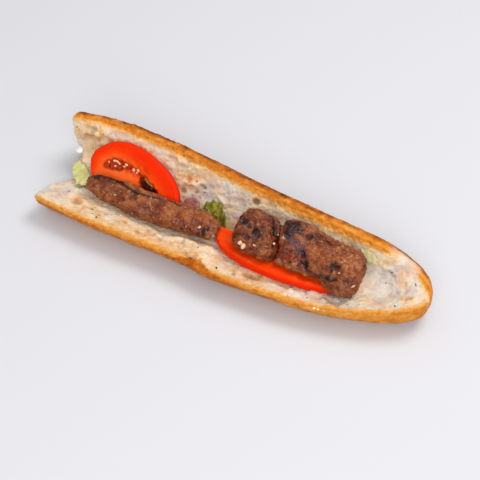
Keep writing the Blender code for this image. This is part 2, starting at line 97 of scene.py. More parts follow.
# How far the browning reaches from each lip into the crumb.
BACK_TOAST = ((-134, 2.6), (-60, 3.2), (-20, 3.4), (40, 4.4), (70, 4.4), (92, 3.4), (104, 2.2), (112, 0.8),
              (124, 0.8), (131, 3.0), (141, 5.0))
FRONT_TOAST = ((-134, 3.0), (-60, 4.5), (0, 5.0), (60, 4.0), (115, 4.0), (141, 6.0))
FRONT_LAP_MM = 2.2
# The crust rolled over the front lip: how far, and its middle and half width along the loaf.
ROLLED_MM, ROLLED_AT_MM = 6.5, (-5, 9.5)
# Where the crumb runs over the back lip behind the bowl: it starts, is whole, thins and ends.
BARE_LIP_MM = (101, 112, 122, 131)
# Grain of what breaks the loaf's surface.
BUBBLE_MM, PORE_MM, BLISTER_MM, SHRED_MM, FINE_MM, BROAD_MM = 4.2, 2.2, 3.4, 2.6, 1.7, 4.5

# Holes in the crumb: place, half size along and across, depth.
PITS_MM = (
    (9.8, 10, 32, 2.9, 2.0, 2.4),
    (-44, 16, 41, 3.2, 1.7, 2.4),
    (19.4, -40, 18.4, 1.9, 1.7, 2.2),
    (30, -36, 16.2, 6.0, 2.0, 1.5),
    (89.2, -33.8, 20.1, 1.6, 1.3, 1.8),
    (122.7, -25.2, 22.3, 1.2, 1.0, 1.6),
    (122.8, -18.6, 20.7, 0.9, 0.8, 1.0),
    (-105, -33, 17, 4.5, 3.2, 1.2),
    (127.7, -8.6, 21.4, 3.0, 2.2, 1.2),
    (25.8, 11.9, 35.7, 1.5, 1.0, 1.4),
    (41.4, 12.7, 36.9, 1.6, 1.1, 1.2),
    (75.5, 18.2, 34.4, 1.3, 0.9, 1.0),
    (-118, 13, 38.7, 3.0, 1.6, 1.4),
    (-11, -42, 20, 5.5, 1.6, 1.6),
    (-43.3, 4.8, 22.1, 2.6, 1.8, 2.2),
    (-30.1, 9.4, 27.3, 2.6, 1.2, 1.8),
    (-34, 6.3, 23.3, 1.8, 1.3, 1.8),
    (-81.1, -33.4, 17, 1.6, 1.2, 1.2),
    (-116.2, -26.6, 15.7, 1.3, 1.1, 1.2),
    (-8.9, 13.4, 37.4, 0.8, 0.7, 1.0),
)
# Torn ridges with a crevice under them: two ends, half width, height.
TEARS_MM = (
    (-48, 6, 23.5, -26, 10.5, 29, 1.9, 2.4),
    (-131, 9.8, 31, -108, 13.2, 37.5, 2.0, 2.2),
    (-22, 7, 23.5, -4, 6, 22.5, 1.7, 1.6),
    (100, 6.5, 24, 118, 1, 21, 1.4, 1.3),
    (98, -14, 15, 104, -28, 17, 1.2, 0.9),
    (-36, -33.5, 16.5, 1, -30, 17, 1.5, 2.2),
    (-60, 16, 38, -40, 14, 36, 1.5, 1.4),
    (60, -33, 17, 84, -30, 17, 1.6, 1.4),
)
# Marks that were picked in the camera's frame: across, down and radius, in its pixels. First
# tan patches on the crumb.
STAINS_PX = (
    (87.5, 126, 4.4), (90, 136, 4.4), (98, 138, 4.6), (102, 131, 4), (104, 127, 3), (80, 131, 3.4),
    (110, 141, 4), (190, 160, 4), (183, 175, 5.4), (190, 180, 5.4), (178, 170, 4), (197, 178, 5.4),
    (203, 176, 4), (194, 168, 4), (78, 200, 6), (83, 206, 4.6), (73, 198, 4), (108, 213, 2.8),
    (117.7, 224, 2.6), (137.3, 232, 3.2), (100, 215, 2.6), (185, 254, 6.4), (192, 256, 5.4),
    (229, 199.5, 3.8), (326, 300, 4.2), (368, 300, 3.8), (407, 300, 5.4), (405.5, 286, 2.8),
    (401.5, 274, 2.6), (393.6, 264, 2.6), (384, 263, 4.4), (252, 276, 6), (246, 274, 5), (258, 278, 4.6),
    (112, 226, 3.4), (160, 240, 3.2), (256, 202, 4.4), (234, 272, 4), (148, 232, 3), (125, 222, 3),
)
# Closed, greyish patches: partly crumb pressed smooth, partly painted shade in the bowl and on the front
# left.
PRESSED_AND_SHADE_PX = (
    (117, 133, 6), (126, 135, 6), (140.7, 136.7, 4.4), (150, 141, 5), (165, 150, 6), (207, 196, 9),
    (213, 188, 6), (62, 192, 12), (52, 190, 9), (106, 214, 5), (384, 285, 16), (376, 272, 12),
    (380, 300, 12), (396, 275, 10), (392, 296, 10), (310, 293, 5.5), (322, 293, 5.5), (234, 277, 4.4),
    (412, 290, 6), (405, 268, 6), (338, 300, 5), (228, 190, 7), (240, 197, 6),
)
# Flakes that stand out of the lips, and lumps of torn crumb: place, radius, height.
FLAKES_MM = (
    (58, -36, 16.5, 2.4, 1.4), (65, -33, 16, 2.6, 1.6), (72, -31, 16, 2.6, 1.6), (79, -29.5, 16, 2.4, 1.5),
    (86, -28, 16.5, 2.6, 1.4), (70, -35, 17.5, 2.2, 1.2), (80, -33, 17.5, 2.4, 1.2), (93, -26, 17, 2.4, 1.0),
    (-28, 7, 24, 2.6, 1.4), (-22, 9, 26, 2.6, 1.3), (-16, 8, 25, 2.4, 1.3), (-10, 9, 27, 2.4, 1.2),
    (-33, 10, 27, 2.4, 1.1), (-4, 9, 28, 2.2, 1.0), (-38, 8, 25, 2.2, 1.0), (2, 8, 27, 2.2, 1.0),
    (-92, 24, 44, 2.6, 1.8), (70, 27, 36, 2.0, 1.1), (84, 24.5, 35, 2.2, 1.4), (-131, 15, 43, 3.0, 1.2),
    (-60, 30, 43.5, 1.8, 0.9), (20, 24, 39.5, 2.0, 0.8), (60, -42.5, 19, 1.8, 1.0), (47, -42, 19, 1.8, 1.2),
)

# Marks on each piece of meat, picked in the same way, with a strength. First its charred blotches, and
# painted shade along the lower seams and edges.
CHAR_AND_SHADE_PX = {
    "meat_left": (
        (108.7, 176.4, 7.3, 0.9), (116.25, 180.75, 5.3, 0.8), (93, 176, 3, 0.7), (122.5, 183.5, 2.8, 0.9),
        (205, 235, 4, 0.8), (198, 234, 3, 0.7), (133, 191.5, 2.4, 0.8), (136.5, 193, 1.8, 0.8),
        (141, 195, 1.6, 0.7), (147, 197, 1.4, 0.7), (124, 199, 2, 0.75), (94, 186, 2, 0.6),
        (105, 195, 2, 0.55), (112, 202, 1.8, 0.5), (122, 209, 1.6, 0.6), (147, 221, 1.8, 0.6),
        (182, 229.5, 2.4, 0.7), (205, 231, 3.4, 0.95), (211, 228, 2.6, 0.85), (199, 229, 2.4, 0.8),
        (213, 221, 1.8, 0.6), (170, 227, 1.4, 0.5), (190, 230, 2, 0.7), (160, 199, 1.8, 0.5),
        (175, 203, 1.8, 0.5), (97, 177, 4.4, 0.9), (100, 175, 5, 1), (104, 175, 5.8, 1),
        (109, 176, 6.4, 1), (114, 178.5, 6.1, 1), (118.5, 180.5, 5, 1),
    ),
    "meat_middle": (
        (240.3, 218.4, 4.2, 1), (245, 221.5, 4.2, 1), (250, 226, 2.6, 0.8), (256, 231, 4.2, 1),
        (258.5, 236, 2.8, 0.9), (275, 227, 2, 0.9), (276.5, 233, 2.4, 1), (274, 221, 1.8, 0.7),
        (250.5, 248.5, 2, 0.8), (258, 249, 1.8, 0.8), (233.5, 238, 2.2, 0.8), (262, 214, 1.6, 0.6),
        (254, 213, 1.8, 0.6), (247, 238, 2, 0.7), (262, 240, 1.4, 0.6), (243, 234, 1.8, 0.6),
        (235, 228, 2, 0.6), (270, 257, 1.6, 0.6), (277, 240, 1.8, 0.8),
    ),
    "meat_right": (
        (287, 223, 4.6, 0.95), (299, 231, 4.6, 1), (297, 223, 3.6, 0.8), (303, 256, 2.4, 0.8),
        (304.5, 262, 2.6, 0.95), (291, 262, 2.2, 0.7), (298, 265.5, 2.4, 0.8), (312, 271, 2.4, 0.8),
        (320, 273, 2.4, 0.85), (328, 273.5, 2.4, 0.85), (311, 235.5, 2.4, 0.9), (314, 237.5, 1.6, 0.7),
        (333.5, 262.5, 4, 1), (338.5, 263, 2.6, 0.85), (336, 259, 2, 0.8), (331, 267, 2.4, 0.85),
        (331, 271, 2, 0.8), (303.5, 262, 2.4, 0.8), (305.5, 267, 2.4, 0.9), (285, 250, 2, 0.6),
        (297, 222, 1.6, 0.5), (306, 244, 1.4, 0.5), (293.5, 227.5, 7.3, 1), (290, 232, 5.7, 1),
        (284.7, 223.4, 3.1, 0.8),
    ),
}
# Other tones on the meat: violet scorch, dark red glaze, orange-brown glaze, pale fat with painted glints.
VIOLET_PX = {
    "meat_left": (
        (131.6, 209, 2.2, 0.8), (143, 211.5, 4, 0.55), (139, 207, 2.6, 0.55), (101, 186, 4, 0.4),
        (156, 215, 3.4, 0.4), (96, 182, 3, 0.5),
    ),
    "meat_middle": (
        (244, 224, 5, 0.5), (256, 236, 4.6, 0.5), (268, 214, 3.6, 0.4), (240, 232, 3, 0.4),
    ),
    "meat_right": (
        (290, 239, 4.4, 1), (296.5, 243, 4.6, 0.95), (303, 250, 4.2, 0.85), (305, 256, 3, 0.8),
        (294, 248, 3.6, 0.8), (287, 236, 3.8, 0.9), (301, 235, 3.4, 0.5), (303, 262, 2.4, 0.6),
        (299, 254, 3, 0.6),
    ),
}
GLAZE_PX = {
    "meat_left": (
        (128, 193.5, 2, 0.9), (131.5, 196, 2, 0.9), (135.5, 198.5, 1.8, 0.8),
    ),
    "meat_middle": (
        (275.5, 228, 3, 0.8), (264, 219, 2.2, 0.5), (250, 236, 2.4, 0.5), (274, 247, 2.4, 0.8),
    ),
    "meat_right": (
        (283, 253, 5, 1), (289, 255.5, 5, 1), (296, 258, 4.4, 1), (300, 262, 3.4, 0.8),
        (282, 247, 4, 0.8), (325, 250, 2, 0.4), (309, 266, 3, 0.6),
    ),
}
AMBER_PX = {
    "meat_left": (
        (185.7, 217.6, 4.5, 0.7), (190, 212, 4.4, 0.6), (196, 216, 4.4, 0.7), (203, 220, 4.4, 0.7),
        (175, 213, 4.4, 0.35), (139, 198, 1.7, 1),
    ),
    "meat_middle": (
        (271, 228.5, 2.2, 0.9), (273.5, 231.5, 1.8, 0.8), (267, 253, 3.6, 0.8), (264, 246, 3, 0.7),
        (270, 240, 2.4, 0.7), (258, 242, 2, 0.6), (240, 231, 2, 0.5),
    ),
    "meat_right": (
        (305, 237, 3.6, 0.6), (311, 249, 4.6, 0.8), (317, 253, 4.6, 0.8), (323, 258, 4.2, 0.8),
        (330, 247, 2.8, 0.4), (302, 229, 3.6, 0.6), (313, 260, 4, 0.6), (320, 262, 3.6, 0.5),
    ),
}
FAT_AND_GLINT_PX = {
    "meat_left": (
        (115, 194.6, 2, 0.7), (174, 221.5, 1.3, 0.8), (199.9, 226.5, 2.3, 0.9), (186, 226.5, 2.4, 0.7),
        (159.8, 218, 1.4, 0.7), (150, 205, 2.2, 0.5), (165, 210, 2.4, 0.5), (178, 212, 2.6, 0.5),
        (120, 192, 1.8, 0.6), (158.9, 200.5, 1.1, 0.9), (151, 196.5, 1.2, 0.8),
    ),
    "meat_middle": (
        (255, 245, 1.1, 1), (262, 229, 1.2, 0.6), (249, 214.5, 1.2, 0.5), (268, 235, 1.2, 0.6),
    ),
    "meat_right": (
        (352.6, 282, 1.8, 0.8), (341.8, 258, 1.1, 1), (339, 268.6, 1.1, 0.9), (283.8, 237, 1.1, 0.9),
        (334, 249, 1.8, 0.5), (316, 257, 1.2, 0.8), (345, 270, 1.5, 0.6), (356, 262, 1.8, 0.4),
        (327, 243, 1.8, 0.5), (301.5, 243.5, 1.6, 0.5),
    ),
}
# Knobs and dents: across, down and radius in pixels, and height or depth in millimetres. The dents are also
# painted with shade.
KNOBS_PX = {
    "meat_left": (
        (103, 186, 7, 0.5), (120, 197, 6, 0.4), (145, 207, 7, 0.5), (188, 212, 6.4, 0.8),
        (206, 219, 4.4, 0.6), (133, 196, 3.4, -0.8), (199, 223.5, 4, -1), (170, 221, 3.2, -0.4),
        (112, 190, 4, -0.4), (157, 206, 4.4, -0.5), (181, 222, 3.4, -0.5),
    ),
    "meat_middle": (
        (262, 219, 7, 1.1), (242, 229, 4.6, 0.8), (266, 238, 5, 1), (250, 243, 5, 0.7),
        (236, 240, 3.6, 0.8), (270, 250, 4.6, 0.8), (244, 221, 3.6, -0.7), (256, 231.5, 3.6, -1),
        (247, 238, 2.4, -0.9), (260, 246, 2.4, -0.9), (238, 234, 2.4, -0.8), (275, 228, 3.4, -1.7),
    ),
    "meat_right": (
        (292, 228, 8.5, 1.5), (325, 243, 6.5, 1), (347, 262, 8, 0.8), (340, 249, 5, 0.5),
        (354, 276, 5, 0.6), (310, 256, 4, 0.8), (322, 261, 4, 0.7), (308.5, 235.5, 3.6, -1.4),
        (318, 236, 2.6, -0.7), (336, 262, 3.6, -1.2), (332, 246, 2.6, -0.5), (306, 262, 3.4, -1),
        (300, 252, 2.6, -0.5), (345, 277, 2.6, -0.6), (284, 245, 3.2, -0.8),
    ),
}
# Flats of a piece, which get no painted shade: place, radius and depth.
FLATS_MM = {
    "meat_right": (
        (62, -27, 27, 5, -2.0), (70, -27, 27, 5.5, -3.2), (78, -26, 27, 5, -3.2), (63, -2, 42, 6.5, -2.6),
        (73, -3, 42, 7, -3.2), (83, -5, 41, 7, -3.4), (92, -8, 39, 6, -3.0),
    ),
}
# The seam of each piece, sunk and painted with shade: points along it and half widths, in pixels.
GROOVE_PX = {
    "meat_left": (
        (96, 175, 2.2), (104.25, 174.75, 2.4), (112.3, 177.3, 2.4), (120, 181, 2.2), (128, 187, 1.8),
        (136, 192, 1.8), (146, 195.5, 1.6), (156, 197, 1.4), (168, 199.5, 1.4), (180, 205, 1.4),
    ),
    "meat_middle": (
        (270.2, 215.3, 2.2), (274.5, 222, 2.2), (276.5, 231, 2.4), (276.5, 240, 2.2), (273, 247, 1.8),
    ),
    "meat_right": (
        (303, 254, 2.2), (304.5, 263, 2.6), (306, 269.5, 2.8), (312, 271.5, 2.8), (320, 273, 2.8),
        (328, 274, 2.6), (334, 274.5, 2),
    ),
}
# How coarse each meat is, as height of its grains and of its crags, and how much darker it browned.
MEAT_RELIEF_MM = {
    "meat_left": (0.34, 0.7, 0.0),
    "meat_middle": (0.5, 1.1, -0.12),
    "meat_right": (0.36, 0.8, 0.0),
}
# How the ends of the fingers lie: where along the loaf the bend starts, where it is full, and the
# shift there.
MEAT_BEND_MM = {
    "meat_left": (-16, 0, (-3.0, -1.0, 0.0)),
    "meat_right": (56, 84, (1.6, -3.2, 0.0)),
}
MINCE_MM, CRAG_MM = 3.6, 7.5

# The left tomato half-slice: place and tilt of its straight edge, radius, and the outer and inner
# side of its seed pocket as shares of the radius, by the angle from the straight edge.
SLICE_AT_MM, SLICE_TILT_DEG = (-77, -12.8, 15.5), 44
SLICE_RIM = ((0, 40), (18, 38.8), (36, 36.5), (54, 34.2), (68, 33.2), (83, 33.8), (97, 35.3), (108, 37),
             (120, 38.8), (132, 39.8), (142, 40.2), (149, 40.2), (155, 39), (161, 36.3), (166, 33.2),
             (172, 30.5), (180, 29.5))
POCKET_OUTER = ((20, 24.5), (34, 22.5), (50, 20.2), (67, 19.3), (86, 20.3), (102, 22.1), (116, 25.3),
                (130, 28.9), (141, 29.7), (150, 28.7), (156, 27.5))
POCKET_INNER = ((20, 12), (50, 11), (64, 12.5), (74, 15.6), (84, 16.2), (107, 17.1), (128, 17.3), (142, 20.9),
                (149, 24.3), (153, 27.5))
# Its seeds: place in its own frame, and half length.
SEEDS_MM = ((-17.2, 19.9, 1.15), (-15.0, 20.0, 1.1), (-13.2, 19.2, 0.9), (-8.1, 20.2, 1.15),
            (-8.9, 18.4, 0.9), (-15.4, 16.6, 0.9), (-1.4, 18.5, 1.2), (1.9, 19.3, 1.25), (1.2, 17.7, 0.8),
            (-20.5, 17.6, 0.8))
DARK_SEEDS_MM = ((-12.8, 15.6, 1.2), (-2.8, 16.9, 0.9), (12.5, 12.6, 1.1), (15.5, 11.2, 1.0))
SEED_HEIGHT_MM = 2.0
# How far the right slice's showing tip is drawn out from under the meat.
SLICE_PULL_MM = (11.5, 0.3, -0.2)
# How far its other tip is drawn in under the leaf.
SLICE_TUCK_MM = (1.5, -6.0, -0.6)
# How the middle leaf reaches over the slice, in the way of a finger's bend.
LEAF_REACH_MM = (-8, 0, (0.5, -6.5, 2.2))

# Bits: place and half length.
GARLIC_MM = (
    (17.6, -28.9, 35.5, 1.8), (20.6, -29.3, 34.1, 2.0), (37.3, -18.9, 34.7, 1.2), (26.9, -25.2, 34.1, 0.7),
    (41.7, -13.7, 38.4, 0.6),
)
CRUMBS_MM = (
    (57.5, -42, 18, 1.1), (59.5, -41.5, 18.3, 0.8), (77.5, -42.4, 18.4, 1.0), (80, -42, 18.6, 0.7),
    (-2, -30.5, 17.2, 0.8), (-18, -31.5, 16.6, 0.7), (30, -33.8, 16.2, 0.6), (88, -30, 17, 0.8),
    (-30, -34, 17, 0.7), (-72, -30.5, 16.2, 0.7), (102, -25, 16.5, 0.6), (-52, -33.5, 16.8, 0.8),
    (68, -31, 17.2, 0.7), (95, -28, 16.8, 0.6),
)
MEAT_BITS_MM = (
    (-105, -18, 27, 1.1), (29, -4, 43, 1.3), (96.7, -8, 34, 1.2), (-104, -20, 25, 0.8), (12, -27, 35, 1.0),
    (35, -24, 30, 0.9), (60, -25, 30.5, 0.7), (-3, -24, 22, 0.9),
)
PEPPER_MM = (
    (-84.8, -41.2, 19.9, 0.9), (-89, -39, 19, 0.5), (-48.5, 17, 41.7, 0.7), (-35.2, 10.3, 28.9, 0.7),
    (111.3, 4.5, 22.5, 0.75), (109.2, -0.4, 15.4, 0.6), (122.4, -18.7, 20.6, 0.6),
    (-115.6, -27.4, 15.7, 0.6), (-50, 19.5, 42.5, 0.6), (-27.5, 7.4, 25.5, 0.7), (-77.7, -32.5, 16.8, 0.5),
    (-110.3, 13.3, 37.5, 0.5), (-130.9, 10.9, 37.1, 0.6), (-9.2, 13.3, 37.1, 0.5), (7.6, -42, 19.1, 0.9),
    (30, 14, 39, 0.4), (60, 12, 33, 0.4), (95, -30, 19, 0.5), (70, -37, 19, 0.6), (-58, 20, 42, 0.5),
)
HERBS_MM = (
    (-91.6, -35.5, 17.6, 1.4), (-47.2, -39.9, 19.3, 0.9), (128.5, 0.4, 23.9, 1.1),
    (-10.8, -33, 19.5, 0.8), (-42.7, -34.8, 17.5, 0.7), (-76, -29, 15.4, 0.8), (119.5, -5.4, 16.9, 0.8),
    (75.5, 16.2, 33.6, 1.2), (-69, -37, 18, 0.6),
)


def linear(code):
    """A colour for a shader, from its sRGB hex code."""
    parts = [int(code[i:i + 2], 16) / 255 for i in (0, 2, 4)]
    return (*(c / 12.92 if c <= 0.04045 else ((c + 0.055) / 1.055) ** 2.4 for c in parts), 1.0)


# Small tools.


def only(obj):
    """Selects this object alone."""
    bpy.ops.object.select_all(action="DESELECT")
    obj.select_set(True)
    bpy.context.view_layer.objects.active = obj


def modify(obj, kind, **settings):
    """Gives the object a modifier and applies it."""
    only(obj)
    made = obj.modifiers.new(kind.title(), kind)
    for key, value in settings.items():
        setattr(made, key, value)
    bpy.ops.object.modifier_apply(modifier=made.name)


def merged_copy(name, node):
    """A copy of the solid as a piece of its own, with its loose triangles joined."""
    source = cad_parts[node]
    data = source.data.copy()
    data.transform(source.matrix_world)
    data.materials.clear()
    data.name = name
    obj = bpy.data.objects.new(name, data)
    bpy.context.scene.collection.objects.link(obj)
    only(obj)
    bpy.ops.object.mode_set(mode="EDIT")
    bpy.ops.mesh.select_all(action="SELECT")
    bpy.ops.mesh.remove_doubles(threshold=1e-6)
    bpy.ops.mesh.normals_make_consistent(inside=False)
    bpy.ops.object.mode_set(mode="OBJECT")
    return obj


def remeshed(name, node, grain_mm, rounds):
    """A fine, evenly divided copy of the solid, its facets smoothed away."""
    obj = merged_copy(name, node)
    modify(obj, "REMESH", mode="VOXEL", voxel_size=grain_mm * MM, adaptivity=0.0)
    modify(obj, "SMOOTH", factor=0.5, iterations=rounds)
    return obj


def points_of(obj):
    """The vertices in millimetres of the drawing's frame, and their normals."""
    count = len(obj.data.vertices)
    points, normals = np.empty(count * 3), np.empty(count * 3)
    obj.data.vertices.foreach_get("co", points)
    obj.data.vertex_normals.foreach_get("vector", normals)
    return points.reshape(-1, 3) / MM + DRAWN_AT_MM, normals.reshape(-1, 3)


def move_to(obj, points):
    obj.data.vertices.foreach_set("co", ((points - DRAWN_AT_MM) * MM).ravel())
    obj.data.update()


def paint(obj, name, values):
    """Stores a number for each vertex, for the material to read."""
    attribute = obj.data.attributes.new(name, "FLOAT", "POINT")
    attribute.data.foreach_set("value", np.clip(values, 0, 1).astype(np.float32))


def complete(obj, finish, nodes):
    """Gives the piece its material and its place in the part."""
    obj.data.materials.clear()
    obj.data.materials.append(finish)
    only(obj)
    bpy.ops.object.shade_smooth()
    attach(obj, "root")
    if nodes:
        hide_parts(*nodes)


def ease(low, high, values):
    """0 at low and 1 at high, with a soft start and end."""
    share = np.clip((values - low) / (high - low), 0, 1)
    return share * share * (3 - 2 * share)


def tree_of(obj):
    return BVHTree.FromObject(obj, bpy.context.evaluated_depsgraph_get())


def camera_stand():
    """The camera's right, up and backward directions, and its place."""
    turn, rise = math.radians(CAMERA_TURN_DEG), math.radians(CAMERA_RISE_DEG)
    back = Vector((math.sin(turn) * math.cos(rise), -math.cos(turn) * math.cos(rise), math.sin(rise)))
    right = Vector((math.cos(turn), math.sin(turn), 0))
    return right, back.cross(right), back, back * CAMERA_DISTANCE - Vector(DRAWN_AT_MM) * MM


def picked(node, marks):
    """Sets marks that were picked in the camera's frame on the node's solid: (across, down, radius,
    ...) in pixels become (x, y, z, radius, ...) in millimetres, to a tenth."""
    right, up, back, eye = camera_stand()
    solid = tree_of(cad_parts[node])
    placed = []
    for across, down, radius, *rest in marks:
        side, fall = (SENSOR_MM / CAMERA_LENS_MM * (at - axis) / FRAME_PX
                      for at, axis in zip((across, down), AXIS_PX))
        spot = solid.ray_cast(eye, (right * side - up * fall - back).normalized())[0]
        place = np.array(spot) / MM + DRAWN_AT_MM
        placed.append((*np.round(place, 1), round(radius * MM_PER_PX, 1), *rest))
    return placed


def lumps(points, grain_mm, octaves=3, seed=0.0):
    """Noise of about -1 to 1 at each point, with lumps of the size of grain."""
    shift = Vector((3.1 + seed, 7.7 - seed, 1.9 + 2 * seed))
    scaled = (points / grain_mm).tolist()
    return np.array([noise.fractal(Vector(at) + shift, 0.9, 2.0, octaves) for at in scaled])


def cells(points, grain_mm, seed=0.0):
    """Grains: the distance from a point to its grain's middle, to the next grain's, and a chance
    number from 0 to 1 for each grain."""
    shift = Vector((seed, 2 * seed, 1.3 * seed))
    near, beyond, middles = [], [], []
    for at in (points / grain_mm).tolist():
        far, where = noise.voronoi(Vector(at) + shift)
        near.append(far[0])
        beyond.append(far[1])
        middles.append(where[0])
    chance = np.modf(np.abs(np.sin(np.array(middles) @ (12.9898, 78.233, 37.719)) * 43758.5453))[0]
    return np.array(near) * grain_mm, np.array(beyond) * grain_mm, chance


def hill(values, middle, half):
    """1 at the middle, falling to 0 past half on both sides."""
    return np.exp(-((values - middle) / half) ** 2)


def nearness(points, places):
    """For places of (x, y, z, radius) and often a strength: the strength, or 1, at a place, falling to
    0 beyond its radius."""
    total = np.zeros(len(points))
    for x, y, z, radius, *strength in places:
        far = np.linalg.norm(points - (x, y, z), axis=1) / radius
        total = np.maximum(total, math.prod(strength) * np.exp(-far * far))
    return total


def height_of(points, places):
    """For places of (x, y, z, radius, height): all their knobs and dips, added up."""
    total = np.zeros(len(points))
    for x, y, z, radius, high in places:
        far = np.linalg.norm(points - (x, y, z), axis=1) / radius
        total += high * np.exp(-far * far)
    return total


def bend(points, start, full, shift):
    """The shift of each point: none before start along the loaf, and all of it past full."""
    return ease(start, full, points[:, 0])[:, None] * np.array(shift)


def line_nearness(points, line):
    """For a line of (x, y, z, half width) points: 1 on the line, falling to 0 beside it."""
    total = np.zeros(len(points))
    for (x0, y0, z0, width), (x1, y1, z1, _) in zip(line, line[1:]):
        start, run = np.array((x0, y0, z0)), np.array((x1 - x0, y1 - y0, z1 - z0))
        share = np.clip(((points - start) @ run) / (run @ run), 0, 1)
        far = np.linalg.norm(points - start - share[:, None] * run, axis=1) / width
        total = np.maximum(total, np.exp(-far * far))
    return total


# Materials.


def outlet(node):
    """A node's result: the colour that a Mix gives, and the first output of any other."""
    return node.outputs[2 if node.bl_idname == "ShaderNodeMix" else 0]


def add(tree, kind, sockets=(), stops=(), **settings):
    """Adds a node, with its settings, its sockets' values or links, and a colour ramp's stops."""
    made = tree.nodes.new("ShaderNode" + kind)
    for key, value in settings.items():
        setattr(made, key, value)
    for key, value in dict(sockets).items():
        if isinstance(value, bpy.types.Node):
            value = outlet(value)
        if isinstance(value, bpy.types.NodeSocket):
            tree.links.new(value, made.inputs[key])
        else:
            made.inputs[key].default_value = value
    if stops:
        ramp = made.color_ramp
        while len(ramp.elements) < len(stops):
            ramp.elements.new(0.5)
        for element, (place, colour) in zip(ramp.elements, stops):
            element.position = place
            element.color = linear(colour) if isinstance(colour, str) else (colour,) * 3 + (1,)
    return made


def new_material(name, **sockets):
    """An empty material with the shader's own numbers set."""
    made = bpy.data.materials.new(name)
    made.use_nodes = True
    tree = made.node_tree
    shader = tree.nodes["Principled BSDF"]
    for key, value in sockets.items():
        shader.inputs[key.replace("_", " ")].default_value = value
    where = add(tree, "TexCoord").outputs["Object"]
    return made, tree, shader, where


def grain(tree, where, size_mm, detail=3, roughness=0.55, distortion=0.0):
    """Noise whose lumps have that real size."""
    return add(tree, "TexNoise", {"Vector": where, "Scale": 1 / (size_mm * MM), "Detail": detail,
                                  "Roughness": roughness, "Distortion": distortion})


def swayed(tree, value, sway, noise_node):
    """The value made uneven by noise, up and down by at most half the sway."""
    about_zero = add(tree, "Math", {0: noise_node, 1: 0.5}, operation="SUBTRACT")
    return add(tree, "Math", {0: about_zero, 1: sway, 2: value}, operation="MULTIPLY_ADD")


def finish_off(tree, shader, colour, roughness, height, strength, depth_mm):
    """Links colour, roughness and bump to the shader."""
    tree.links.new(outlet(colour), shader.inputs["Base Color"])
    if roughness:
        tree.links.new(roughness.outputs[0], shader.inputs["Roughness"])
    bump = add(tree, "Bump", {"Height": height, "Strength": strength, "Distance": depth_mm * MM})
    tree.links.new(bump.outputs[0], shader.inputs["Normal"])


def white_baguette(look):
    """Wheat bread: matt, slightly see-through crumb that scatters light, under a thin baked crust
    whose browned sugars give a low gloss."""
    made, tree, shader, where = new_material(
        "white_baguette", IOR=1.45, Subsurface_Weight=0.08, Subsurface_Scale=0.0015,
        Subsurface_Radius=(1.0, 0.55, 0.3), Specular_IOR_Level=0.08)
    crust, toast, pit, tone, bake = (
        add(tree, "Attribute", attribute_name=name).outputs["Fac"]
        for name in ("crust", "toast", "pit", "tone", "bake"))
    # Crumb: from greyish, where pressed and partly painted shade, to cream, peach and tan, mottled at the
    # size of its bubbles.
    toned = swayed(tree, tone, 1.05, grain(tree, where, 7.5, 4, 0.6))
    mottled = swayed(tree, toned, 0.7, grain(tree, where, 1.9, 4, 0.7))
    crumb = add(tree, "ValToRGB", {"Fac": mottled}, stops=(
        (0.0, "C6BCB4"), (0.14, "D4CAC0"), (0.3, "E0D2BC"), (0.46, "E4CCA8"), (0.64, "DEB88C"),
        (0.82, "CC9E6C"), (1.0, "B07E50")))
    blush = add(tree, "ValToRGB", {"Fac": grain(tree, where, 11, 3)}, stops=(
        (0.45, "FFFFFF"), (0.62, "FAE6DC")))
    blushed = add(tree, "Mix", {0: 1.0, 6: crumb, 7: blush}, data_type="RGBA", blend_type="MULTIPLY")
    # Painted shade: dark specks for the shade in the crumb's fine pores.
    pore_shade = add(tree, "ValToRGB", {"Fac": grain(tree, where, 1.1, 3, 0.75)}, stops=(
        (0.3, 0.78), (0.4, 0.98), (0.68, 1.0)))
    pore_shaded = add(tree, "Mix", {0: 0.6, 6: blushed, 7: pore_shade}, data_type="RGBA", blend_type="MULTIPLY")
    # Painted shade: bubbles, pores, holes and crevices darkened towards brown.
    pit_shaded = add(tree, "Mix", {0: pit, 6: pore_shaded, 7: linear("8A5634")}, data_type="RGBA")
    # Browning creeps from the lips into the crumb.
    edge = swayed(tree, toast, 0.8, grain(tree, where, 2.6, 4))
    browned = add(tree, "ValToRGB", {"Fac": edge}, stops=(
        (0.1, "ECC690"), (0.4, "E6AE62"), (0.7, "DA923E"), (0.95, "CA7C2C"), (1.0, "B86C22")))
    amount = add(tree, "ValToRGB", {"Fac": edge}, stops=((0.1, 0.0), (0.42, 0.8), (0.65, 1.0)))
    toasted = add(tree, "Mix", {0: amount, 6: pit_shaded, 7: browned}, data_type="RGBA")
    # Crust: gold to chestnut, speckled.
    baked = swayed(tree, bake, 1.3, grain(tree, where, 8, 5, 0.66))
    skin = add(tree, "ValToRGB", {"Fac": baked}, stops=(
        (0.0, "EEAE58"), (0.28, "DE9034"), (0.52, "C8701C"), (0.78, "A05210"), (1.0, "66340C")))
    speckle = add(tree, "ValToRGB", {"Fac": grain(tree, where, 1.0, 3, 0.7)}, stops=(
        (0.34, 0.55), (0.47, 0.95), (0.72, 1.0)))
    crusted = add(tree, "Mix", {0: 0.75, 6: skin, 7: speckle}, data_type="RGBA", blend_type="MULTIPLY")
    colour = add(tree, "Mix", {0: crust, 6: toasted, 7: crusted}, data_type="RGBA")
    gloss = add(tree, "MapRange", {0: crust, 3: 0.92, 4: 0.55})
    height = add(tree, "Math", {0: grain(tree, where, 1.5, 3, 0.6), 1: grain(tree, where, 0.6, 3, 0.7)},
                 operation="ADD")
    finish_off(tree, shader, colour, gloss, height, look.bump, 0.8)
    return made


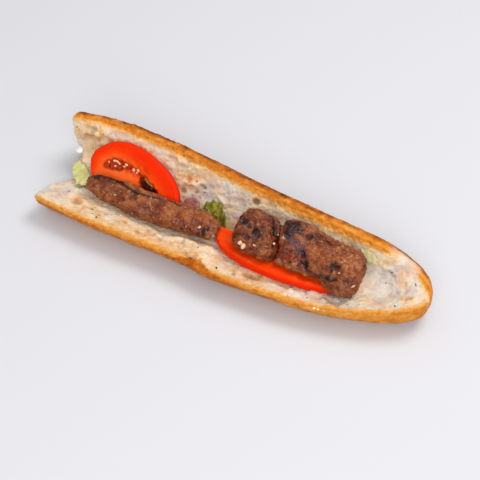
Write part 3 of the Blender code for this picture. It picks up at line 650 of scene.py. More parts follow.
def grilled_mince(look):
    """Minced lamb and beef, grilled: brown grains with pale streaks of fat and painted glints, amber and dark
    red where juice glazed them, black char where the fire touched, painted shade in cracks, dents and
    seams and underneath, painted light on the crests, and a thin film of grease that glints."""
    made, tree, shader, where = new_material(
        "grilled_mince", IOR=1.45, Specular_IOR_Level=0.1, Coat_Weight=0.3, Coat_Roughness=0.16)
    char_and_shade, meat_tone_and_light, crease_shade, violet, glaze, amber, fat_and_glint = (
        add(tree, "Attribute", attribute_name=name).outputs["Fac"]
        for name in ("char_and_shade", "meat_tone_and_light", "crease_shade", "violet", "glaze", "amber", "fat_and_glint"))
    # The meat's tone: partly its own, partly painted light and shade, lighter on knobs and crags and darker
    # in dents.
    mixed = swayed(tree, meat_tone_and_light, 0.6, grain(tree, where, 2.4, 4, 0.65))
    flesh = add(tree, "ValToRGB", {"Fac": mixed}, stops=(
        (0.05, "441A0E"), (0.28, "783C22"), (0.48, "945632"), (0.66, "A66C42"), (0.84, "C09064"),
        (1.0, "E2BC8A")))
    broad = add(tree, "ValToRGB", {"Fac": grain(tree, where, 9, 3)}, stops=(
        (0.35, "BE9480"), (0.5, "EED4BC"), (0.65, "FFF2D8")))
    colour = add(tree, "Mix", {0: 0.85, 6: flesh, 7: broad}, data_type="RGBA", blend_type="MULTIPLY")
    # Pale streaks: partly fat, partly painted glints.
    streaky = add(tree, "Mapping", {"Vector": where, "Scale": (0.45, 1.0, 1.0)})
    fat_and_glint_streak = add(tree, "ValToRGB", {"Fac": grain(tree, streaky, 1.3, 3, 0.6)}, stops=(
        (0.6, 0.0), (0.74, 0.4)))
    colour = add(tree, "Mix", {0: fat_and_glint_streak, 6: colour, 7: linear("E4BE98")}, data_type="RGBA")
    ragged = grain(tree, where, 3.4, 5, 0.65)

    def blotched(colour, mask, low, high, spread, edges):
        """The colour under blotches of two tones where the mask is, with ragged edges."""
        amount = add(tree, "ValToRGB", {"Fac": swayed(tree, mask, spread, ragged)}, stops=edges)
        tint = add(tree, "ValToRGB", {"Fac": grain(tree, where, 1.3, 3, 0.65)}, stops=(
            (0.36, low), (0.64, high)))
        return add(tree, "Mix", {0: amount, 6: colour, 7: tint}, data_type="RGBA")

    colour = blotched(colour, amber, "7C3A10", "B8662C", 1.2, ((0.2, 0.0), (0.8, 0.85)))
    colour = blotched(colour, glaze, "300804", "8A2E14", 1.2, ((0.15, 0.0), (0.6, 0.95)))
    colour = blotched(colour, violet, "301822", "70505A", 1.2, ((0.12, 0.0), (0.7, 0.92)))
    # Painted shade in cracks, folds, seams and dents.
    colour = add(tree, "Mix", {0: crease_shade, 6: colour, 7: linear("1E0A05")}, data_type="RGBA")
    # Char, and painted shade along the lower seams and underneath.
    colour = blotched(colour, char_and_shade, "0C0405", "2E1616", 0.7, ((0.12, 0.0), (0.66, 0.93)))
    # Pale fat, and painted glints in the same tones.
    colour = blotched(colour, fat_and_glint, "C39A78", "EFD3B0", 0.7, ((0.4, 0.0), (0.75, 0.9)))
    # Grease pools in patches, and most of it on the glaze.
    glazed = add(tree, "Math", {0: glaze, 1: 0.3}, operation="MULTIPLY")
    greasy = add(tree, "Math", {0: grain(tree, where, 3.0, 3), 1: glazed}, operation="SUBTRACT")
    wet = add(tree, "MapRange", {0: greasy, 1: 0.36, 2: 0.56, 3: 0.12, 4: 0.6})
    height = add(tree, "Math", {0: grain(tree, where, 2.4, 3, 0.6), 1: grain(tree, where, 0.9, 2, 0.6)},
                 operation="ADD")
    finish_off(tree, shader, colour, wet, height, look.bump, 0.8)
    return made


def ripe_tomato(look):
    """Ripe tomato: wet, see-through flesh that glows orange-red, under a glassy deeper red skin, with
    dark gel round the seeds."""
    made, tree, shader, where = new_material(
        "ripe_tomato", IOR=1.38, Subsurface_Weight=0.15, Subsurface_Scale=0.002,
        Subsurface_Radius=(1.0, 0.25, 0.1), Specular_IOR_Level=0.07)
    skin, gel, pale_core_and_light, hollow_shade, vein = (
        add(tree, "Attribute", attribute_name=name).outputs["Fac"]
        for name in ("skin", "gel", "pale_core_and_light", "hollow_shade", "vein"))
    # Paler flesh: the left slice's pale core, and on the right slice partly painted light.
    paled = swayed(tree, pale_core_and_light, 0.5, grain(tree, where, 4, 4))
    flesh = add(tree, "ValToRGB", {"Fac": paled}, stops=(
        (0.0, "E42A02"), (0.35, "E63C06"), (0.65, "E85216"), (1.0, "E47234")))
    jelly = add(tree, "ValToRGB", {"Fac": grain(tree, where, 2.2, 4, 0.65)}, stops=(
        (0.36, "4A0602"), (0.5, "861402"), (0.64, "B8300A")))
    gelled = add(tree, "Mix", {0: gel, 6: flesh, 7: jelly}, data_type="RGBA")
    # Painted shade in the hollow end of the seed pocket.
    sunk = add(tree, "Mix", {0: hollow_shade, 6: gelled, 7: linear("3A0A04")}, data_type="RGBA")
    veined = add(tree, "Mix", {0: vein, 6: sunk, 7: linear("B8A04A")}, data_type="RGBA")
    colour = add(tree, "Mix", {0: skin, 6: veined, 7: linear("D82602")}, data_type="RGBA")
    wet = add(tree, "MapRange", {0: gel, 3: 0.4, 4: 0.2})
    finish_off(tree, shader, colour, wet, grain(tree, where, 1.1, 3), look.bump, 0.25)
    return made


def lettuce_leaf(name, low, middle, high, rib_colour):
    """Lettuce: a thin leaf that lets light through, waxy, with paler ribs."""
    made, tree, shader, where = new_material(
        name, IOR=1.4, Roughness=0.38, Subsurface_Weight=0.15, Subsurface_Scale=0.002,
        Subsurface_Radius=(0.5, 1.0, 0.2), Specular_IOR_Level=0.3)
    rib = add(tree, "Attribute", attribute_name="rib").outputs["Fac"]
    blade = add(tree, "ValToRGB", {"Fac": grain(tree, where, 3.5, 4, 0.6, 0.6)}, stops=(
        (0.32, low), (0.52, middle), (0.7, high)))
    colour = add(tree, "Mix", {0: rib, 6: blade, 7: linear(rib_colour)}, data_type="RGBA")
    finish_off(tree, shader, colour, None, grain(tree, where, 0.9, 3), 0.4, 0.25)
    return made


def soft_onion(name, low, high):
    """Onion softened by heat: glassy, pinkish layers."""
    made, tree, shader, where = new_material(
        name, IOR=1.36, Roughness=0.3, Subsurface_Weight=0.3, Subsurface_Scale=0.003,
        Coat_Weight=0.3, Coat_Roughness=0.15)
    streaks = add(tree, "Mapping", {"Vector": where, "Scale": (0.25, 1.0, 1.0)})
    colour = add(tree, "ValToRGB", {"Fac": grain(tree, streaks, 1.6, 3)}, stops=((0.35, low), (0.65, high)))
    finish_off(tree, shader, colour, None, grain(tree, streaks, 1.2, 2), 0.35, 0.25)
    return made


def plain_food(name, low, high, roughness, size_mm, coat=0.0):
    """A small bit of food: two close tones, mottled at the size of its grain."""
    made, tree, shader, where = new_material(
        name, IOR=1.42, Roughness=roughness, Subsurface_Weight=0.1, Subsurface_Scale=0.001,
        Coat_Weight=coat, Coat_Roughness=0.15)
    colour = add(tree, "ValToRGB", {"Fac": grain(tree, where, size_mm, 3)}, stops=((0.35, low), (0.65, high)))
    finish_off(tree, shader, colour, None, grain(tree, where, size_mm * 0.4, 3), 0.4, 0.15)
    return made


# The loaf.


def along(x, stations):
    """A smooth curve through (place, value) stations, read at x."""
    places = [place for place, _ in stations]
    values = [value for _, value in stations]
    last = len(places) - 1
    i = max(0, min(last - 1, sum(x > p for p in places[1:])))

    def slope(k):
        before, after = max(k - 1, 0), min(k + 1, last)
        return (values[after] - values[before]) / (places[after] - places[before])

    run = places[i + 1] - places[i]
    t = min(max((x - places[i]) / run, 0.0), 1.0)
    return (values[i] * (1 + 2 * t) * (1 - t) ** 2 + slope(i) * run * t * (1 - t) ** 2
            + values[i + 1] * t * t * (3 - 2 * t) - slope(i + 1) * run * t * t * (1 - t))


def along_all(places, stations):
    """The same curve, read at many places."""
    spots = np.arange(TORN_END - 12.0, NOSE_TIP + 4, 1.0)
    return np.interp(places, spots, [along(spot, stations) for spot in spots])


def nose_share(x, nose):
    start, power = nose
    share = min(max((x - start) / (NOSE_TIP - start), 0.0), 1.0)
    return (1 - share**power) ** (1 / power)


def hull_at(x):
    """The crust's outline at x, from the front lip under the loaf to the back lip, as (y, z)."""
    back_share = nose_share(x, BACK_NOSE)
    front_y = NOSE_Y - along(x, FRONT_REACH) * nose_share(x, FRONT_NOSE)
    back_y = NOSE_Y + along(x, BACK_REACH) * back_share
    front_z, back_z = along(x, FRONT_LIP), along(x, BACK_LIP)
    under = NOSE_LIFT * (1 - nose_share(x, LIFTED_NOSE))
    bulge = BACK_BULGE * back_share
    floor_front = NOSE_Y + (front_y - NOSE_Y) * FLAT_FRONT
    floor_back = NOSE_Y + (back_y - NOSE_Y) * FLAT_BACK
    bulge_z = under + (back_z - under) * BULGE_HEIGHT
    turns = [k / TURN_STEPS * math.pi / 2 for k in range(TURN_STEPS + 1)]
    line = [(floor_front + (front_y - floor_front) * math.cos(t),
             front_z - (front_z - under) * math.sin(t)) for t in turns]
    line += [(floor_back + (back_y + bulge - floor_back) * math.sin(t),
              bulge_z - (bulge_z - under) * math.cos(t)) for t in turns]
    line += [(back_y + bulge * math.cos(t), bulge_z + (back_z - bulge_z) * math.sin(t)) for t in turns[1:]]
    return line


def loaf_fields(points):
    """For each point: its distance from the crust's outline, its distances from the front and the
    back lip as shares of the browning's reach there, and its place round the outline."""
    places = np.arange(TORN_END - 8.0, NOSE_TIP, 1.0)
    hulls = np.array([hull_at(x) for x in places])
    reach = np.array([(along(x, FRONT_TOAST), along(x, BACK_TOAST)) for x in places])
    spot = np.clip(points[:, 0] - places[0], 0, len(places) - 1.001)
    low = spot.astype(int)
    share = (spot - low)[:, None, None]
    hull = hulls[low] * (1 - share) + hulls[low + 1] * share
    reach = reach[low]
    start, step = hull[:, :-1], np.diff(hull, axis=1)
    offset = points[:, None, 1:] - start
    t = np.clip((offset * step).sum(2) / np.maximum((step * step).sum(2), 1e-9), 0, 1)
    far = np.linalg.norm(offset - t[..., None] * step, axis=2)
    front = np.linalg.norm(points[:, 1:] - hull[:, 0], axis=1) / reach[:, 0]
    back_lip = hull[:, -1] - (CRUST_LIP * 0.6, CRUST_LIP * 0.3)
    back = np.linalg.norm(points[:, 1:] - back_lip, axis=1) / reach[:, 1]
    nearest = far.argmin(1)
    place = (nearest + t[np.arange(len(points)), nearest]) / far.shape[1]
    return far.min(1), front, back, place


def tear_height(points, tears):
    """Height of torn ridges, and the painted shade of the crevices under them."""
    height, dark = np.zeros(len(points)), np.zeros(len(points))
    for x0, y0, z0, x1, y1, z1, width, high in tears:
        start, end = np.array((x0, y0, z0)), np.array((x1, y1, z1))
        run = end - start
        t = np.clip(((points - start) @ run) / (run @ run), 0, 1)
        wander = 1.2 * np.sin(t * 9 + x0) + 0.6 * np.sin(t * 23 + y0)
        off = points - (start + t[:, None] * run)
        far = np.linalg.norm(off, axis=1)
        fade = np.exp(-(far / (3 * width)) ** 2) * np.sin(np.pi * (0.08 + 0.84 * t))
        below = (off[:, 1] + 0.6 * off[:, 2] + wander) / width
        height += high * fade * np.exp(-(below - 0.8) ** 2)
        height -= 0.9 * high * fade * np.exp(-((below + 1.0) / 0.7) ** 2)
        dark = np.maximum(dark, 0.42 * fade * np.exp(-((below + 1.1) / 0.6) ** 2))
    return height, dark


def hull_rim(place):
    """The darkest part of the crust, round the outside of the lip at the back."""
    return ease(0.76, 0.9, place) * ease(1.0, 0.93, place)


def crust_share(points, normals, fields, ragged, fine):
    """How far each point is crust and not crumb, and where the lip is bare and the end is torn."""
    depth, front, _, place = fields
    x, y, z = points.T
    torn = ease(-0.35, -0.6, normals[:, 0]) * ease(-112, -118, x)
    # Behind the bowl the crumb runs over the lip, and in front it laps over the crust's edge.
    starts, whole, thins, ends = BARE_LIP_MM
    bare = ease(starts, whole, x) * ease(ends, thins, x) * ease(0.8, 0.9, place) * ease(4.5, 2.5, depth)
    bare *= ease(0.62, 0.3, normals[:, 1])
    lapped = FRONT_LAP_MM * hill(front * along_all(x, FRONT_TOAST), 0, 3) * ease(130, 118, x)
    lapped *= 1 + 0.9 * lumps(points, 8, 3, 6.0)
    rolled = ROLLED_MM * hill(x, *ROLLED_AT_MM) * ease(-24, -32, y)
    edge = depth + lapped - rolled + 0.5 * ragged + 0.22 * rolled * (ragged + fine)
    crust = ease(1.7, 0.8, edge) * (1 - bare) * (1 - torn * ease(0.4, 1.2, depth))
    nose = ease(0.3, 0.6, normals[:, 0]) * ease(130, 136, x) * ease(23, 20, z)
    return np.maximum(crust, nose), bare, torn


def crumb_holes(points, ragged, fine, broad, toast):
    """The crumb's bubbles and pores, from 0 to 1, and the depth of its single holes."""
    near, _, chance = cells(points + 0.8 * np.stack((ragged, fine, broad), axis=1), BUBBLE_MM, 0.7)
    bubble = ease(1.0, 0.3, near / (0.5 + 1.3 * chance)) * (chance > 0.5) * ease(0.9, 0.3, toast)
    near, _, chance = cells(points + 0.4 * np.stack((fine, ragged, fine), axis=1), PORE_MM, 2.1)
    pore = ease(1.0, 0.3, near / (0.35 + 0.6 * chance)) * (chance > 0.45)
    pit = np.zeros(len(points))
    for x, y, z, half_x, half_y, deep in PITS_MM:
        off = (points - (x, y, z)) / (half_x, half_y, max(half_x, half_y))
        pit += deep * ease(1.3, 0.3, np.linalg.norm(off, axis=1) + 0.15 * ragged)
    return bubble, pore, pit


def shape_loaf(loaf):
    """Raises pores, tears and blisters, and stores where crust and browning are, the painted shade of holes
    and crevices, and painted light at the front right.
    """
    points, normals = points_of(loaf)
    depth, front, back, place = loaf_fields(points)
    x, y, z = points.T
    ragged = lumps(points, SHRED_MM, 3, 4.0)
    fine = lumps(points, FINE_MM, 3, 2.0)
    broad = lumps(points, BROAD_MM, 4, 1.0)
    crust, bare, torn = crust_share(points, normals, (depth, front, back, place), ragged, fine)
    crumb = 1 - crust
    toast = np.maximum(0.85 * np.exp(-front ** 1.6), np.exp(-back ** 1.6)) * (1 - torn) * (1 - 0.9 * bare)
    pressed = nearness(points, picked("bread", PRESSED_AND_SHADE_PX))
    bubble, pore, pit = crumb_holes(points, ragged, fine, broad, toast)
    ridge, crevice_shade = tear_height(points, TEARS_MM)
    near, _, chance = cells(points, BLISTER_MM, 5.3)
    blister = ease(1.0, 0.2, near / (0.6 + chance)) * (chance > 0.6)
    # Heights in millimetres: of the crumb, of the crust, and of the ragged lips.
    rise = crumb * (1 - 0.75 * pressed) * (0.65 * broad + 0.45 * fine - 1.0 * bubble - 0.4 * pore)
    rise -= crumb * (pit - ridge)
    rise += crust * (0.3 * lumps(points, 7, 3, 3.0) + 0.2 * fine + 0.25 * blister)
    rise += np.maximum(hill(1.6 * back, 0, 1), 0.8 * hill(1.3 * front, 0, 1)) * (0.6 * ragged + 0.5 * fine)
    flakes = height_of(points, FLAKES_MM) * (1 + 0.6 * fine)
    moved = points + normals * rise[:, None] + np.array((0, 0.25, 0.97)) * flakes[:, None]
    # The base stays flat on the floor.
    moved[:, 2] = np.maximum(np.where(z < 0.3, z, moved[:, 2]), 0.0)
    move_to(loaf, moved)
    paint(loaf, "crust", crust)
    paint(loaf, "toast", toast)
    # Painted shade in the crumb's bubbles, pores and holes, and in the crevices under the tears.
    hollow_shade = np.maximum(0.34 * bubble + 0.16 * pore, np.clip(pit / 2.0, 0, 0.85)) * (1 - 0.6 * pressed)
    paint(loaf, "pit", np.maximum.reduce([hollow_shade, np.clip(pit / 2.2, 0, 0.85), crevice_shade]) * crumb * 0.8)
    stain = nearness(points, picked("bread", STAINS_PX))
    # Painted light: the crumb between the right meat and the front lip is painted paler against the meat's
    # shadow.
    front_right_light = hill(x, 78, 22) * ease(-24, -28, y)
    middle = hill(x, -10, 85) * ease(-25, -34, y)
    back_left = ease(-70, -95, x) * ease(0, 8, y)
    # The tone: greyer in the pressed patches, partly as painted shade, and paler at the front right as
    # painted light.
    paint(loaf, "tone", 0.37 + 0.08 * broad + 0.12 * middle + 0.34 * stain - 0.28 * pressed
          - 0.12 * front_right_light - 0.14 * np.clip(flakes, 0, 1) + 0.09 * back_left)
    redder = hill(x, -2, 26) * ease(-20, -34, y)
    paler = ease(45, 80, x) * np.maximum(ease(0.3, 0.1, place), ease(0.84, 0.92, place))
    rim = hull_rim(place) * (0.75 + 0.9 * lumps(points, 6, 3, 8.0))
    paint(loaf, "bake", 0.47 + 0.1 * broad + 0.25 * blister + 0.4 * rim + 0.14 * redder - 0.18 * paler)


# The fillings.


def shape_meat(piece, name):
    """Breaks the surface into uneven grains of mince with short cracks between them, and gives it its
    own knobs, dips and folds."""
    grain_mm, crag_mm, browned = MEAT_RELIEF_MM[name]
    points, normals = points_of(piece)
    seed = float(len(name))
    warp = np.stack([lumps(points, 4, 3, seed + k) for k in range(3)], axis=1)
    bent = points + 1.5 * warp
    near, beyond, chance = cells(bent, MINCE_MM, seed)
    crags = lumps(points, CRAG_MM, 3, seed + 5)
    knobs = lumps(bent, 3.4, 3, seed + 3)
    fine = lumps(points, 1.4, 2, seed + 7)
    # Cracks and folds take turns over the surface.
    cracked = ease(-0.2, 0.4, lumps(points, 7, 2, seed + 13))
    crack = hill(beyond - near, 0, 0.4) * cracked
    fold = hill(lumps(bent, 9, 2, seed + 9), 0, 0.07) * (1 - cracked)
    rise = grain_mm * (1.2 * knobs + 0.4 * (chance - 0.5) - 0.7 * crack) + crag_mm * 0.9 * crags
    rise += 0.06 * fine - 0.6 * crag_mm * fold
    frayed = points + 1.1 * np.stack([lumps(points, 2.4, 3, seed + 20 + k) for k in range(3)], axis=1)
    char_and_shade = nearness(frayed, picked(name, CHAR_AND_SHADE_PX[name]))
    rise += 0.25 * char_and_shade * fine
    uneven = points + 0.8 * warp
    bumps = picked(name, KNOBS_PX[name])
    rise += height_of(uneven, bumps) + height_of(uneven, FLATS_MM.get(name, ()))
    dent_shade = nearness(uneven, [(*place, -high) for *place, high in bumps])
    seam = line_nearness(points + 0.7 * warp, picked(name, GROOVE_PX[name]))
    rise -= 1.1 * seam
    moved = points + normals * rise[:, None]
    if name in MEAT_BEND_MM:
        moved += bend(points, *MEAT_BEND_MM[name])
    move_to(piece, moved)
    # Tone: partly random and browned, partly painted light on knobs and crags and painted shade in dents.
    paint(piece, "meat_tone_and_light", 0.46 + browned + 0.14 * (chance - 0.5) + 0.07 * fine + 0.16 * crags
          + 0.16 * knobs - 0.15 * dent_shade)
    # Painted shade in cracks, folds, seams and dents.
    paint(piece, "crease_shade", np.maximum.reduce([0.22 * crack, 0.4 * fold, 0.95 * seam, 0.6 * dent_shade]))
    # Its lowest part is darkened towards the bottom, in the char's tones: partly browning, partly painted
    # shade under it.
    low = np.percentile(points[:, 2], 25)
    paint(piece, "char_and_shade", np.maximum(char_and_shade, 0.4 * ease(low + 1, low - 4, points[:, 2])))
    for tone, places in (("violet", VIOLET_PX), ("glaze", GLAZE_PX), ("amber", AMBER_PX), ("fat_and_glint", FAT_AND_GLINT_PX)):
        paint(piece, tone, nearness(frayed, picked(name, places[name])))


def slice_frame():
    """From the left slice's own frame to the drawing's."""
    turn = Matrix.Rotation(math.radians(SLICE_TILT_DEG), 4, "X")
    return Matrix.Translation(Vector(SLICE_AT_MM)) @ turn


def in_slice(points):
    """Points in the left slice's own frame: along its straight edge, across it, and out of its face."""
    back = np.array(slice_frame().inverted())
    return points @ back[:3, :3].T + back[:3, 3]


def shape_left_tomato(piece):
    """Sinks the seed pocket, and stores skin, gel, the painted shade in the pocket's hollow end, and the pale
    core.
    """
    points, normals = points_of(piece)
    local = in_slice(points)
    angle = np.degrees(np.arctan2(local[:, 1], local[:, 0]))
    radius = np.hypot(local[:, 0], local[:, 1])
    rim = np.interp(angle, *zip(*SLICE_RIM))
    wobble = 0.9 * lumps(points, 4, 3, 1.0) + 0.3 * lumps(points, 1.5, 2, 1.5)
    outer = np.interp(angle, *zip(*POCKET_OUTER)) + wobble
    inner = np.interp(angle, *zip(*POCKET_INNER)) + wobble
    inside = ease(-0.6, 2.0, outer - radius) * ease(-0.8, 2.0, radius - inner)
    inside *= ease(18, 27, angle) * ease(155, 146, angle)
    face = ease(0.6, 1.8, local[:, 2])
    gel = inside * face
    # The pocket's hollow end is sunk and painted with shade.
    hollow_shade = gel * ease(80, 62, angle)
    vein = hill(outer - radius, 1.6, 0.6) * ease(66, 60, angle) * ease(36, 41, angle) * face
    jelly = lumps(points, 2.6, 3, 2.0)
    rise = -gel * (0.5 - 0.5 * jelly) - 1.0 * hollow_shade + 0.9 * vein + 0.12 * lumps(points, 6, 3, 3.0)
    move_to(piece, points + normals * rise[:, None])
    paint(piece, "skin", ease(1.4, 0.3, rim - radius))
    paint(piece, "gel", gel * (0.8 + 0.3 * jelly))
    paint(piece, "hollow_shade", 0.95 * hollow_shade)
    paint(piece, "vein", 0.85 * vein)
    depth = (rim - radius) / np.maximum(rim - outer, 1)
    pale_core_and_light = 0.5 * ease(0.4, 1.0, depth) + 0.25 * ease(60, 130, angle) * ease(0.2, 0.6, depth)
    paint(piece, "pale_core_and_light", face * np.maximum(pale_core_and_light, 0.75 * ease(-0.5, 1.5, inner - radius)))


def shape_right_tomato(piece):
    """Ripples the slice a little, and stores the paler cut face, paler still on top as painted light against
    the meat's shadow, with paler streaks as painted highlights.
    """
    points, normals = points_of(piece)
    moved = points + normals * (0.2 * lumps(points, 7, 3, 3.0))[:, None]
    drawn_out = ease(46, 76, points[:, 0]) * ease(-10, -22, points[:, 1])
    tucked = ease(13, 0, points[:, 0]) * ease(-19, -9, points[:, 1])
    moved += tucked[:, None] * np.array(SLICE_TUCK_MM)
    move_to(piece, moved + drawn_out[:, None] * np.array(SLICE_PULL_MM))
    upward = ease(0.55, 0.85, normals[:, 2])
    streaks = lumps(points * (0.3, 1, 1), 3.5, 3, 6.0)
    end = nearness(points, [(2, -17, 22.5, 9.0, 1.0)])
    paint(piece, "skin", 0.35 * ease(0.5, 0.2, np.abs(normals[:, 2])))
    # Painted light: the top face paler against the meat's shadow, with paler streaks as painted highlights.
    paint(piece, "pale_core_and_light", 0.3 * upward + 0.25 * upward * ease(-0.3, 0.5, streaks) + 0.05 * end)
    for empty in ("gel", "hollow_shade", "vein"):
        paint(piece, empty, np.zeros(len(points)))


def shape_leaf(piece, wave_mm, rib_mm, rib_line, reach):
    """Ruffles a leaf, draws it out where it has a reach, and stores its light rib."""
    points, _ = points_of(piece)
    rise = wave_mm * lumps(points, 4.0, 3, 2.0) + 0.25 * wave_mm * lumps(points, 1.5, 2, 5.0)
    if reach:
        points = points + bend(points, *reach)
    move_to(piece, points + np.array((0, 0, 1)) * rise[:, None])
    start, end = (np.array(tip) for tip in rib_line)
    run = end - start
    t = np.clip(((points - start) @ run) / (run @ run), 0, 1)
    far = np.linalg.norm((points - (start + t[:, None] * run))[:, :2], axis=1)
    paint(piece, "rib", 0.9 * hill(far, 0, rib_mm))


def shape_onion(piece):
    """Rounds a layer of onion, so that it thins out towards its ends."""
    points, normals = points_of(piece)
    low, high = points.min(0), points.max(0)
    centre = (low + high) / 2
    along_share = (points[:, 0] - centre[0]) / (high[0] - centre[0])
    thinned = np.maximum(1 - along_share ** 2, 0.04) ** 0.45
    points[:, 1:] = centre[1:] + (points[:, 1:] - centre[1:]) * thinned[:, None]
    move_to(piece, points + normals * (0.5 * lumps(points, 4, 2, 4.0))[:, None])


def scatter(name, places, shape, turn_seed, trees, finish):
    """One piece of many small bits, each with its own turn, half sunk in what carries it. The shape is
    the bit's half sizes as shares of its length."""
    chance = random.Random(turn_seed)
    parts = []
    for x, y, z, size in places:
        at = (Vector((x, y, z)) - Vector(DRAWN_AT_MM)) * MM
        hits = [tree.find_nearest(at) for tree in trees]
        spot, normal = min(((h[0], h[1]) for h in hits), key=lambda h: (h[0] - at).length)
        bpy.ops.mesh.primitive_ico_sphere_add(subdivisions=2, radius=size * MM, location=(0, 0, 0))
        bit = bpy.context.active_object
        seed = Vector([chance.uniform(0, 50) for _ in range(3)])
        for vert in bit.data.vertices:
            vert.co *= 1 + 0.35 * noise.noise(vert.co / (size * MM) + seed)
            vert.co = Vector(vert.co[k] * shape[k] for k in range(3))
        spin = Euler((chance.uniform(-0.3, 0.3), chance.uniform(-0.3, 0.3), chance.uniform(0, 6.3)))
        stand = normal.to_track_quat("Z", "Y").to_matrix().to_4x4()
        lift = normal * size * MM * shape[2] * 0.35
        bit.data.transform(Matrix.Translation(spot + lift) @ stand @ spin.to_matrix().to_4x4())
        parts.append(bit)
    only(parts[0])
    for bit in parts:
        bit.select_set(True)
    bpy.ops.object.join()
    piece = bpy.context.active_object
    piece.name = piece.data.name = name
    complete(piece, finish, ())


# Settings that a user would change.


class LoafLook(bpy.types.PropertyGroup):
    grain: bpy.props.FloatProperty(
        name="Mesh grain", description="How finely the loaf is divided", default=0.85 * MM, unit="LENGTH")
    bump: bpy.props.FloatProperty(
        name="Fine texture", description="Strength of the texture finer than the mesh", default=0.5,
        subtype="FACTOR", min=0, max=1)


class MeatLook(bpy.types.PropertyGroup):
    grain: bpy.props.FloatProperty(
        name="Mesh grain", description="How finely the meat is divided", default=0.38 * MM, unit="LENGTH")
    bump: bpy.props.FloatProperty(
        name="Fine texture", description="Strength of the texture finer than the mesh", default=0.4,
        subtype="FACTOR", min=0, max=1)


class TomatoLook(bpy.types.PropertyGroup):
    grain: bpy.props.FloatProperty(
        name="Mesh grain", description="How finely the tomato is divided", default=0.45 * MM, unit="LENGTH")
    bump: bpy.props.FloatProperty(
        name="Fine texture", description="Strength of the texture finer than the mesh", default=0.25,
        subtype="FACTOR", min=0, max=1)


class GreensLook(bpy.types.PropertyGroup):
    grain: bpy.props.FloatProperty(
        name="Mesh grain", description="How finely leaves and onion are divided", default=0.32 * MM,
        unit="LENGTH")


class StageLook(bpy.types.PropertyGroup):
    floor: bpy.props.FloatVectorProperty(
        name="Floor", description="Colour of the floor", subtype="COLOR", size=4, default=linear("CDCDD1"),
        min=0, max=1)
    key_power: bpy.props.FloatProperty(
        name="Key light", description="Power of the big soft light", default=9.0, unit="POWER")


# One operator for each piece or group of like pieces.


class SANDWICH_OT_loaf(bpy.types.Operator):
    """Bakes the loaf: crust, torn crumb and browned lips"""

    bl_idname = "sandwich.loaf"
    bl_label = "Loaf"

    def execute(self, context):
        look = context.scene.loaf_look
        loaf = remeshed("baguette", "bread", look.grain / MM, 6)
        shape_loaf(loaf)
        complete(loaf, white_baguette(look), ["bread"])
        return {"FINISHED"}


class SANDWICH_OT_meat(bpy.types.Operator):
    """Grills the three pieces of minced meat"""

    bl_idname = "sandwich.meat"
    bl_label = "Meat"

    def execute(self, context):
        look = context.scene.meat_look
        finish = grilled_mince(look)
        for node in CHAR_AND_SHADE_PX:
            piece = remeshed(node.replace("meat", "kofte"), node, look.grain / MM, 5)
            shape_meat(piece, node)
            complete(piece, finish, [node])
        return {"FINISHED"}


class SANDWICH_OT_tomato(bpy.types.Operator):
    """Cuts the two tomato half-slices"""

    bl_idname = "sandwich.tomato"
    bl_label = "Tomato"

    def execute(self, context):
        look = context.scene.tomato_look
        finish = ripe_tomato(look)
        for node, shape in (("tomato_left", shape_left_tomato), ("tomato_right", shape_right_tomato)):
            piece = remeshed(node.replace("tomato", "tomato_slice"), node, look.grain / MM, 4)
            shape(piece)
            complete(piece, finish, [node])
        return {"FINISHED"}


class SANDWICH_OT_greens(bpy.types.Operator):
    """Lays lettuce and onion"""

    bl_idname = "sandwich.greens"
    bl_label = "Lettuce and onion"

    def execute(self, context):
        fine_mm = context.scene.greens_look.grain / MM
        pale = lettuce_leaf("pale_lettuce", "B4B470", "C6C280", "D4CEA0", "BEBC74")
        dark = lettuce_leaf("dark_lettuce", "4A4406", "72660C", "A49C34", "E6DE78")
        faint = lettuce_leaf("faint_lettuce", "B4AE74", "C4BA8A", "D2C8A6", "C8BE90")
        leaves = (
            ("lettuce_end", pale, 30, 0.2, 1.6, ((-125, -2, 17), (-106, -17, 18)), None),
            ("lettuce_middle", dark, 4, 0.6, 3.5, ((-5, -8, 20), (3, -19, 20)), LEAF_REACH_MM),
            ("lettuce_sliver", faint, 12, 0.3, 1.6, ((87, 6.5, 28), (101, 3.5, 26)), None),
        )
        for node, finish, rounds, wave_mm, rib_mm, rib_line, reach in leaves:
            piece = remeshed(node.replace("lettuce", "leaf"), node, fine_mm, rounds)
            shape_leaf(piece, wave_mm, rib_mm, rib_line, reach)
            complete(piece, finish, [node])
        # The layers share one onion finish in tones that are partly their own and partly painted light and
        # shade: the end layer near white where strongly lit, the left and middle layers darker and greyer
        # where in shade.
        for node, low, high in (("onion_end", "D6D3DA", "F2F0F2"), ("onion_left", "84483C", "A87068"),
                                ("onion_middle", "A98F86", "CDB9AE")):
            piece = remeshed(node.replace("onion", "onion_layer"), node, fine_mm * 1.5, 60)
            shape_onion(piece)
            complete(piece, soft_onion("soft_" + node, low, high), [node])
        return {"FINISHED"}


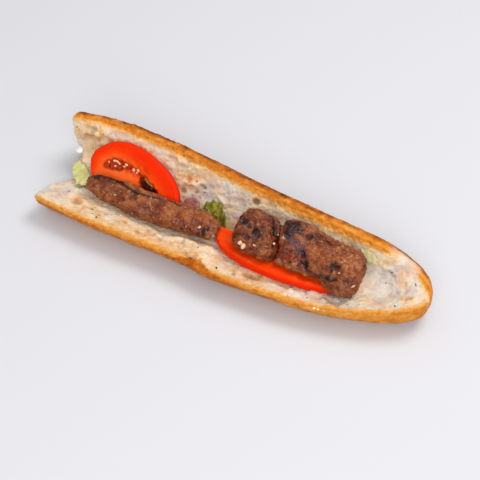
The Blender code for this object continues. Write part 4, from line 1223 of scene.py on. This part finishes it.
class SANDWICH_OT_bits(bpy.types.Operator):
    """Scatters seeds, garlic, herbs, pepper and crumbs"""

    bl_idname = "sandwich.bits"
    bl_label = "Small bits"

    def execute(self, context):
        loaf, left, middle, right, cut = (
            tree_of(bpy.data.objects[name])
            for name in ("baguette", "kofte_left", "kofte_middle", "kofte_right", "tomato_slice_left"))
        out = slice_frame()
        pale, dark = ([(*(out @ Vector((x, y, SEED_HEIGHT_MM))), size) for x, y, size in seeds]
                      for seeds in (SEEDS_MM, DARK_SEEDS_MM))
        scatter("tomato_seeds", pale, (1.25, 0.85, 0.55), 1, [cut],
                plain_food("tomato_seed", "DC8460", "F0BC9C", 0.2, 1.0, 0.6))
        scatter("dark_tomato_seeds", dark, (1.0, 0.66, 0.45), 5, [cut],
                plain_food("dark_tomato_seed", "3A1A0C", "6E3A1C", 0.25, 1.0, 0.5))
        scatter("pepper", PEPPER_MM, (0.9, 0.7, 0.5), 2, [loaf],
                plain_food("ground_pepper", "1E1712", "4A3A2A", 0.7, 0.5))
        scatter("herbs", HERBS_MM, (1.0, 0.55, 0.18), 3, [loaf],
                plain_food("dried_herb", "5C6420", "8E9440", 0.6, 0.6))
        scatter("garlic", GARLIC_MM, (1.0, 0.8, 0.75), 4, [middle],
                plain_food("soft_garlic", "D9A27C", "EEC8A4", 0.4, 1.5, 0.2))
        scatter("crumbs", CRUMBS_MM, (1.0, 0.7, 0.45), 6, [loaf],
                plain_food("bread_crumb", "E6D3BC", "FBF3E6", 0.9, 0.6))
        scatter("meat_bits", MEAT_BITS_MM, (1.0, 0.6, 0.5), 7, [left, middle, right],
                plain_food("meat_crumb", "3A2018", "6E4530", 0.5, 0.6))
        return {"FINISHED"}


class SANDWICH_OT_stage(bpy.types.Operator):
    """Sets the floor, the soft light and the camera"""

    bl_idname = "sandwich.stage"
    bl_label = "Stage"

    def execute(self, context):
        look = context.scene.stage_look
        bpy.ops.object.select_all(action="DESELECT")
        bpy.ops.mesh.primitive_plane_add(size=FLOOR_WIDTH, location=(0, 0, 0))
        floor = context.active_object
        floor.name = "floor"
        # Matt paper: pale and even, without gloss.
        paper, _, shader, _ = new_material("matt_paper", Roughness=0.85)
        shader.inputs["Base Color"].default_value = look.floor
        floor.data.materials.append(paper)
        for name, spot, size, share in LAMPS:
            bpy.ops.object.light_add(type="AREA", location=spot)
            light = context.active_object
            light.name = name
            light.data.energy = look.key_power * share
            light.data.size = size
            light.rotation_euler = (-Vector(spot)).to_track_quat("-Z", "Y").to_euler()
        world = bpy.data.worlds.new("studio")
        context.scene.world = world
        world.use_nodes = True
        sky = world.node_tree.nodes["Background"]
        sky.inputs["Color"].default_value = linear("FFFFFF")
        sky.inputs["Strength"].default_value = SKY_STRENGTH
        bpy.ops.object.camera_add()
        camera = context.active_object
        camera.name = "camera"
        right, up, back, place = camera_stand()
        camera.matrix_world = Matrix((
            (right.x, up.x, back.x, place.x), (right.y, up.y, back.y, place.y),
            (right.z, up.z, back.z, place.z), (0, 0, 0, 1)))
        camera.data.lens = CAMERA_LENS_MM
        camera.data.sensor_width = SENSOR_MM
        camera.data.shift_x, camera.data.shift_y = CAMERA_SHIFT
        context.scene.camera = camera
        # Plain colours, so that white stays white and the tomato keeps its red.
        context.scene.view_settings.view_transform = "Standard"
        return {"FINISHED"}


OPERATORS = (
    SANDWICH_OT_stage,
    SANDWICH_OT_loaf,
    SANDWICH_OT_meat,
    SANDWICH_OT_tomato,
    SANDWICH_OT_greens,
    SANDWICH_OT_bits,
)
LOOKS = {
    "loaf_look": LoafLook,
    "meat_look": MeatLook,
    "tomato_look": TomatoLook,
    "greens_look": GreensLook,
    "stage_look": StageLook,
}


class SANDWICH_PT_panel(bpy.types.Panel):
    """Lists the sandwich's settings and pieces"""

    bl_label = "Sandwich"
    bl_idname = "SANDWICH_PT_panel"
    bl_space_type = "VIEW_3D"
    bl_region_type = "UI"
    bl_category = "Sandwich"

    def draw(self, context):
        for key, look in LOOKS.items():
            box = self.layout.box()
            for setting in look.__annotations__:
                box.prop(getattr(context.scene, key), setting)
        for operator in OPERATORS:
            self.layout.operator(operator.bl_idname)


def register():
    for kind in (*LOOKS.values(), *OPERATORS, SANDWICH_PT_panel):
        bpy.utils.register_class(kind)
    for key, look in LOOKS.items():
        setattr(bpy.types.Scene, key, bpy.props.PointerProperty(type=look))


def unregister():
    for key in LOOKS:
        delattr(bpy.types.Scene, key)
    for kind in (SANDWICH_PT_panel, *OPERATORS[::-1], *LOOKS.values()):
        bpy.utils.unregister_class(kind)


def main():
    register()
    bpy.ops.sandwich.stage()
    bpy.ops.sandwich.loaf()
    bpy.ops.sandwich.meat()
    bpy.ops.sandwich.tomato()
    bpy.ops.sandwich.greens()
    bpy.ops.sandwich.bits()


if __name__ == "__main__":
    main()
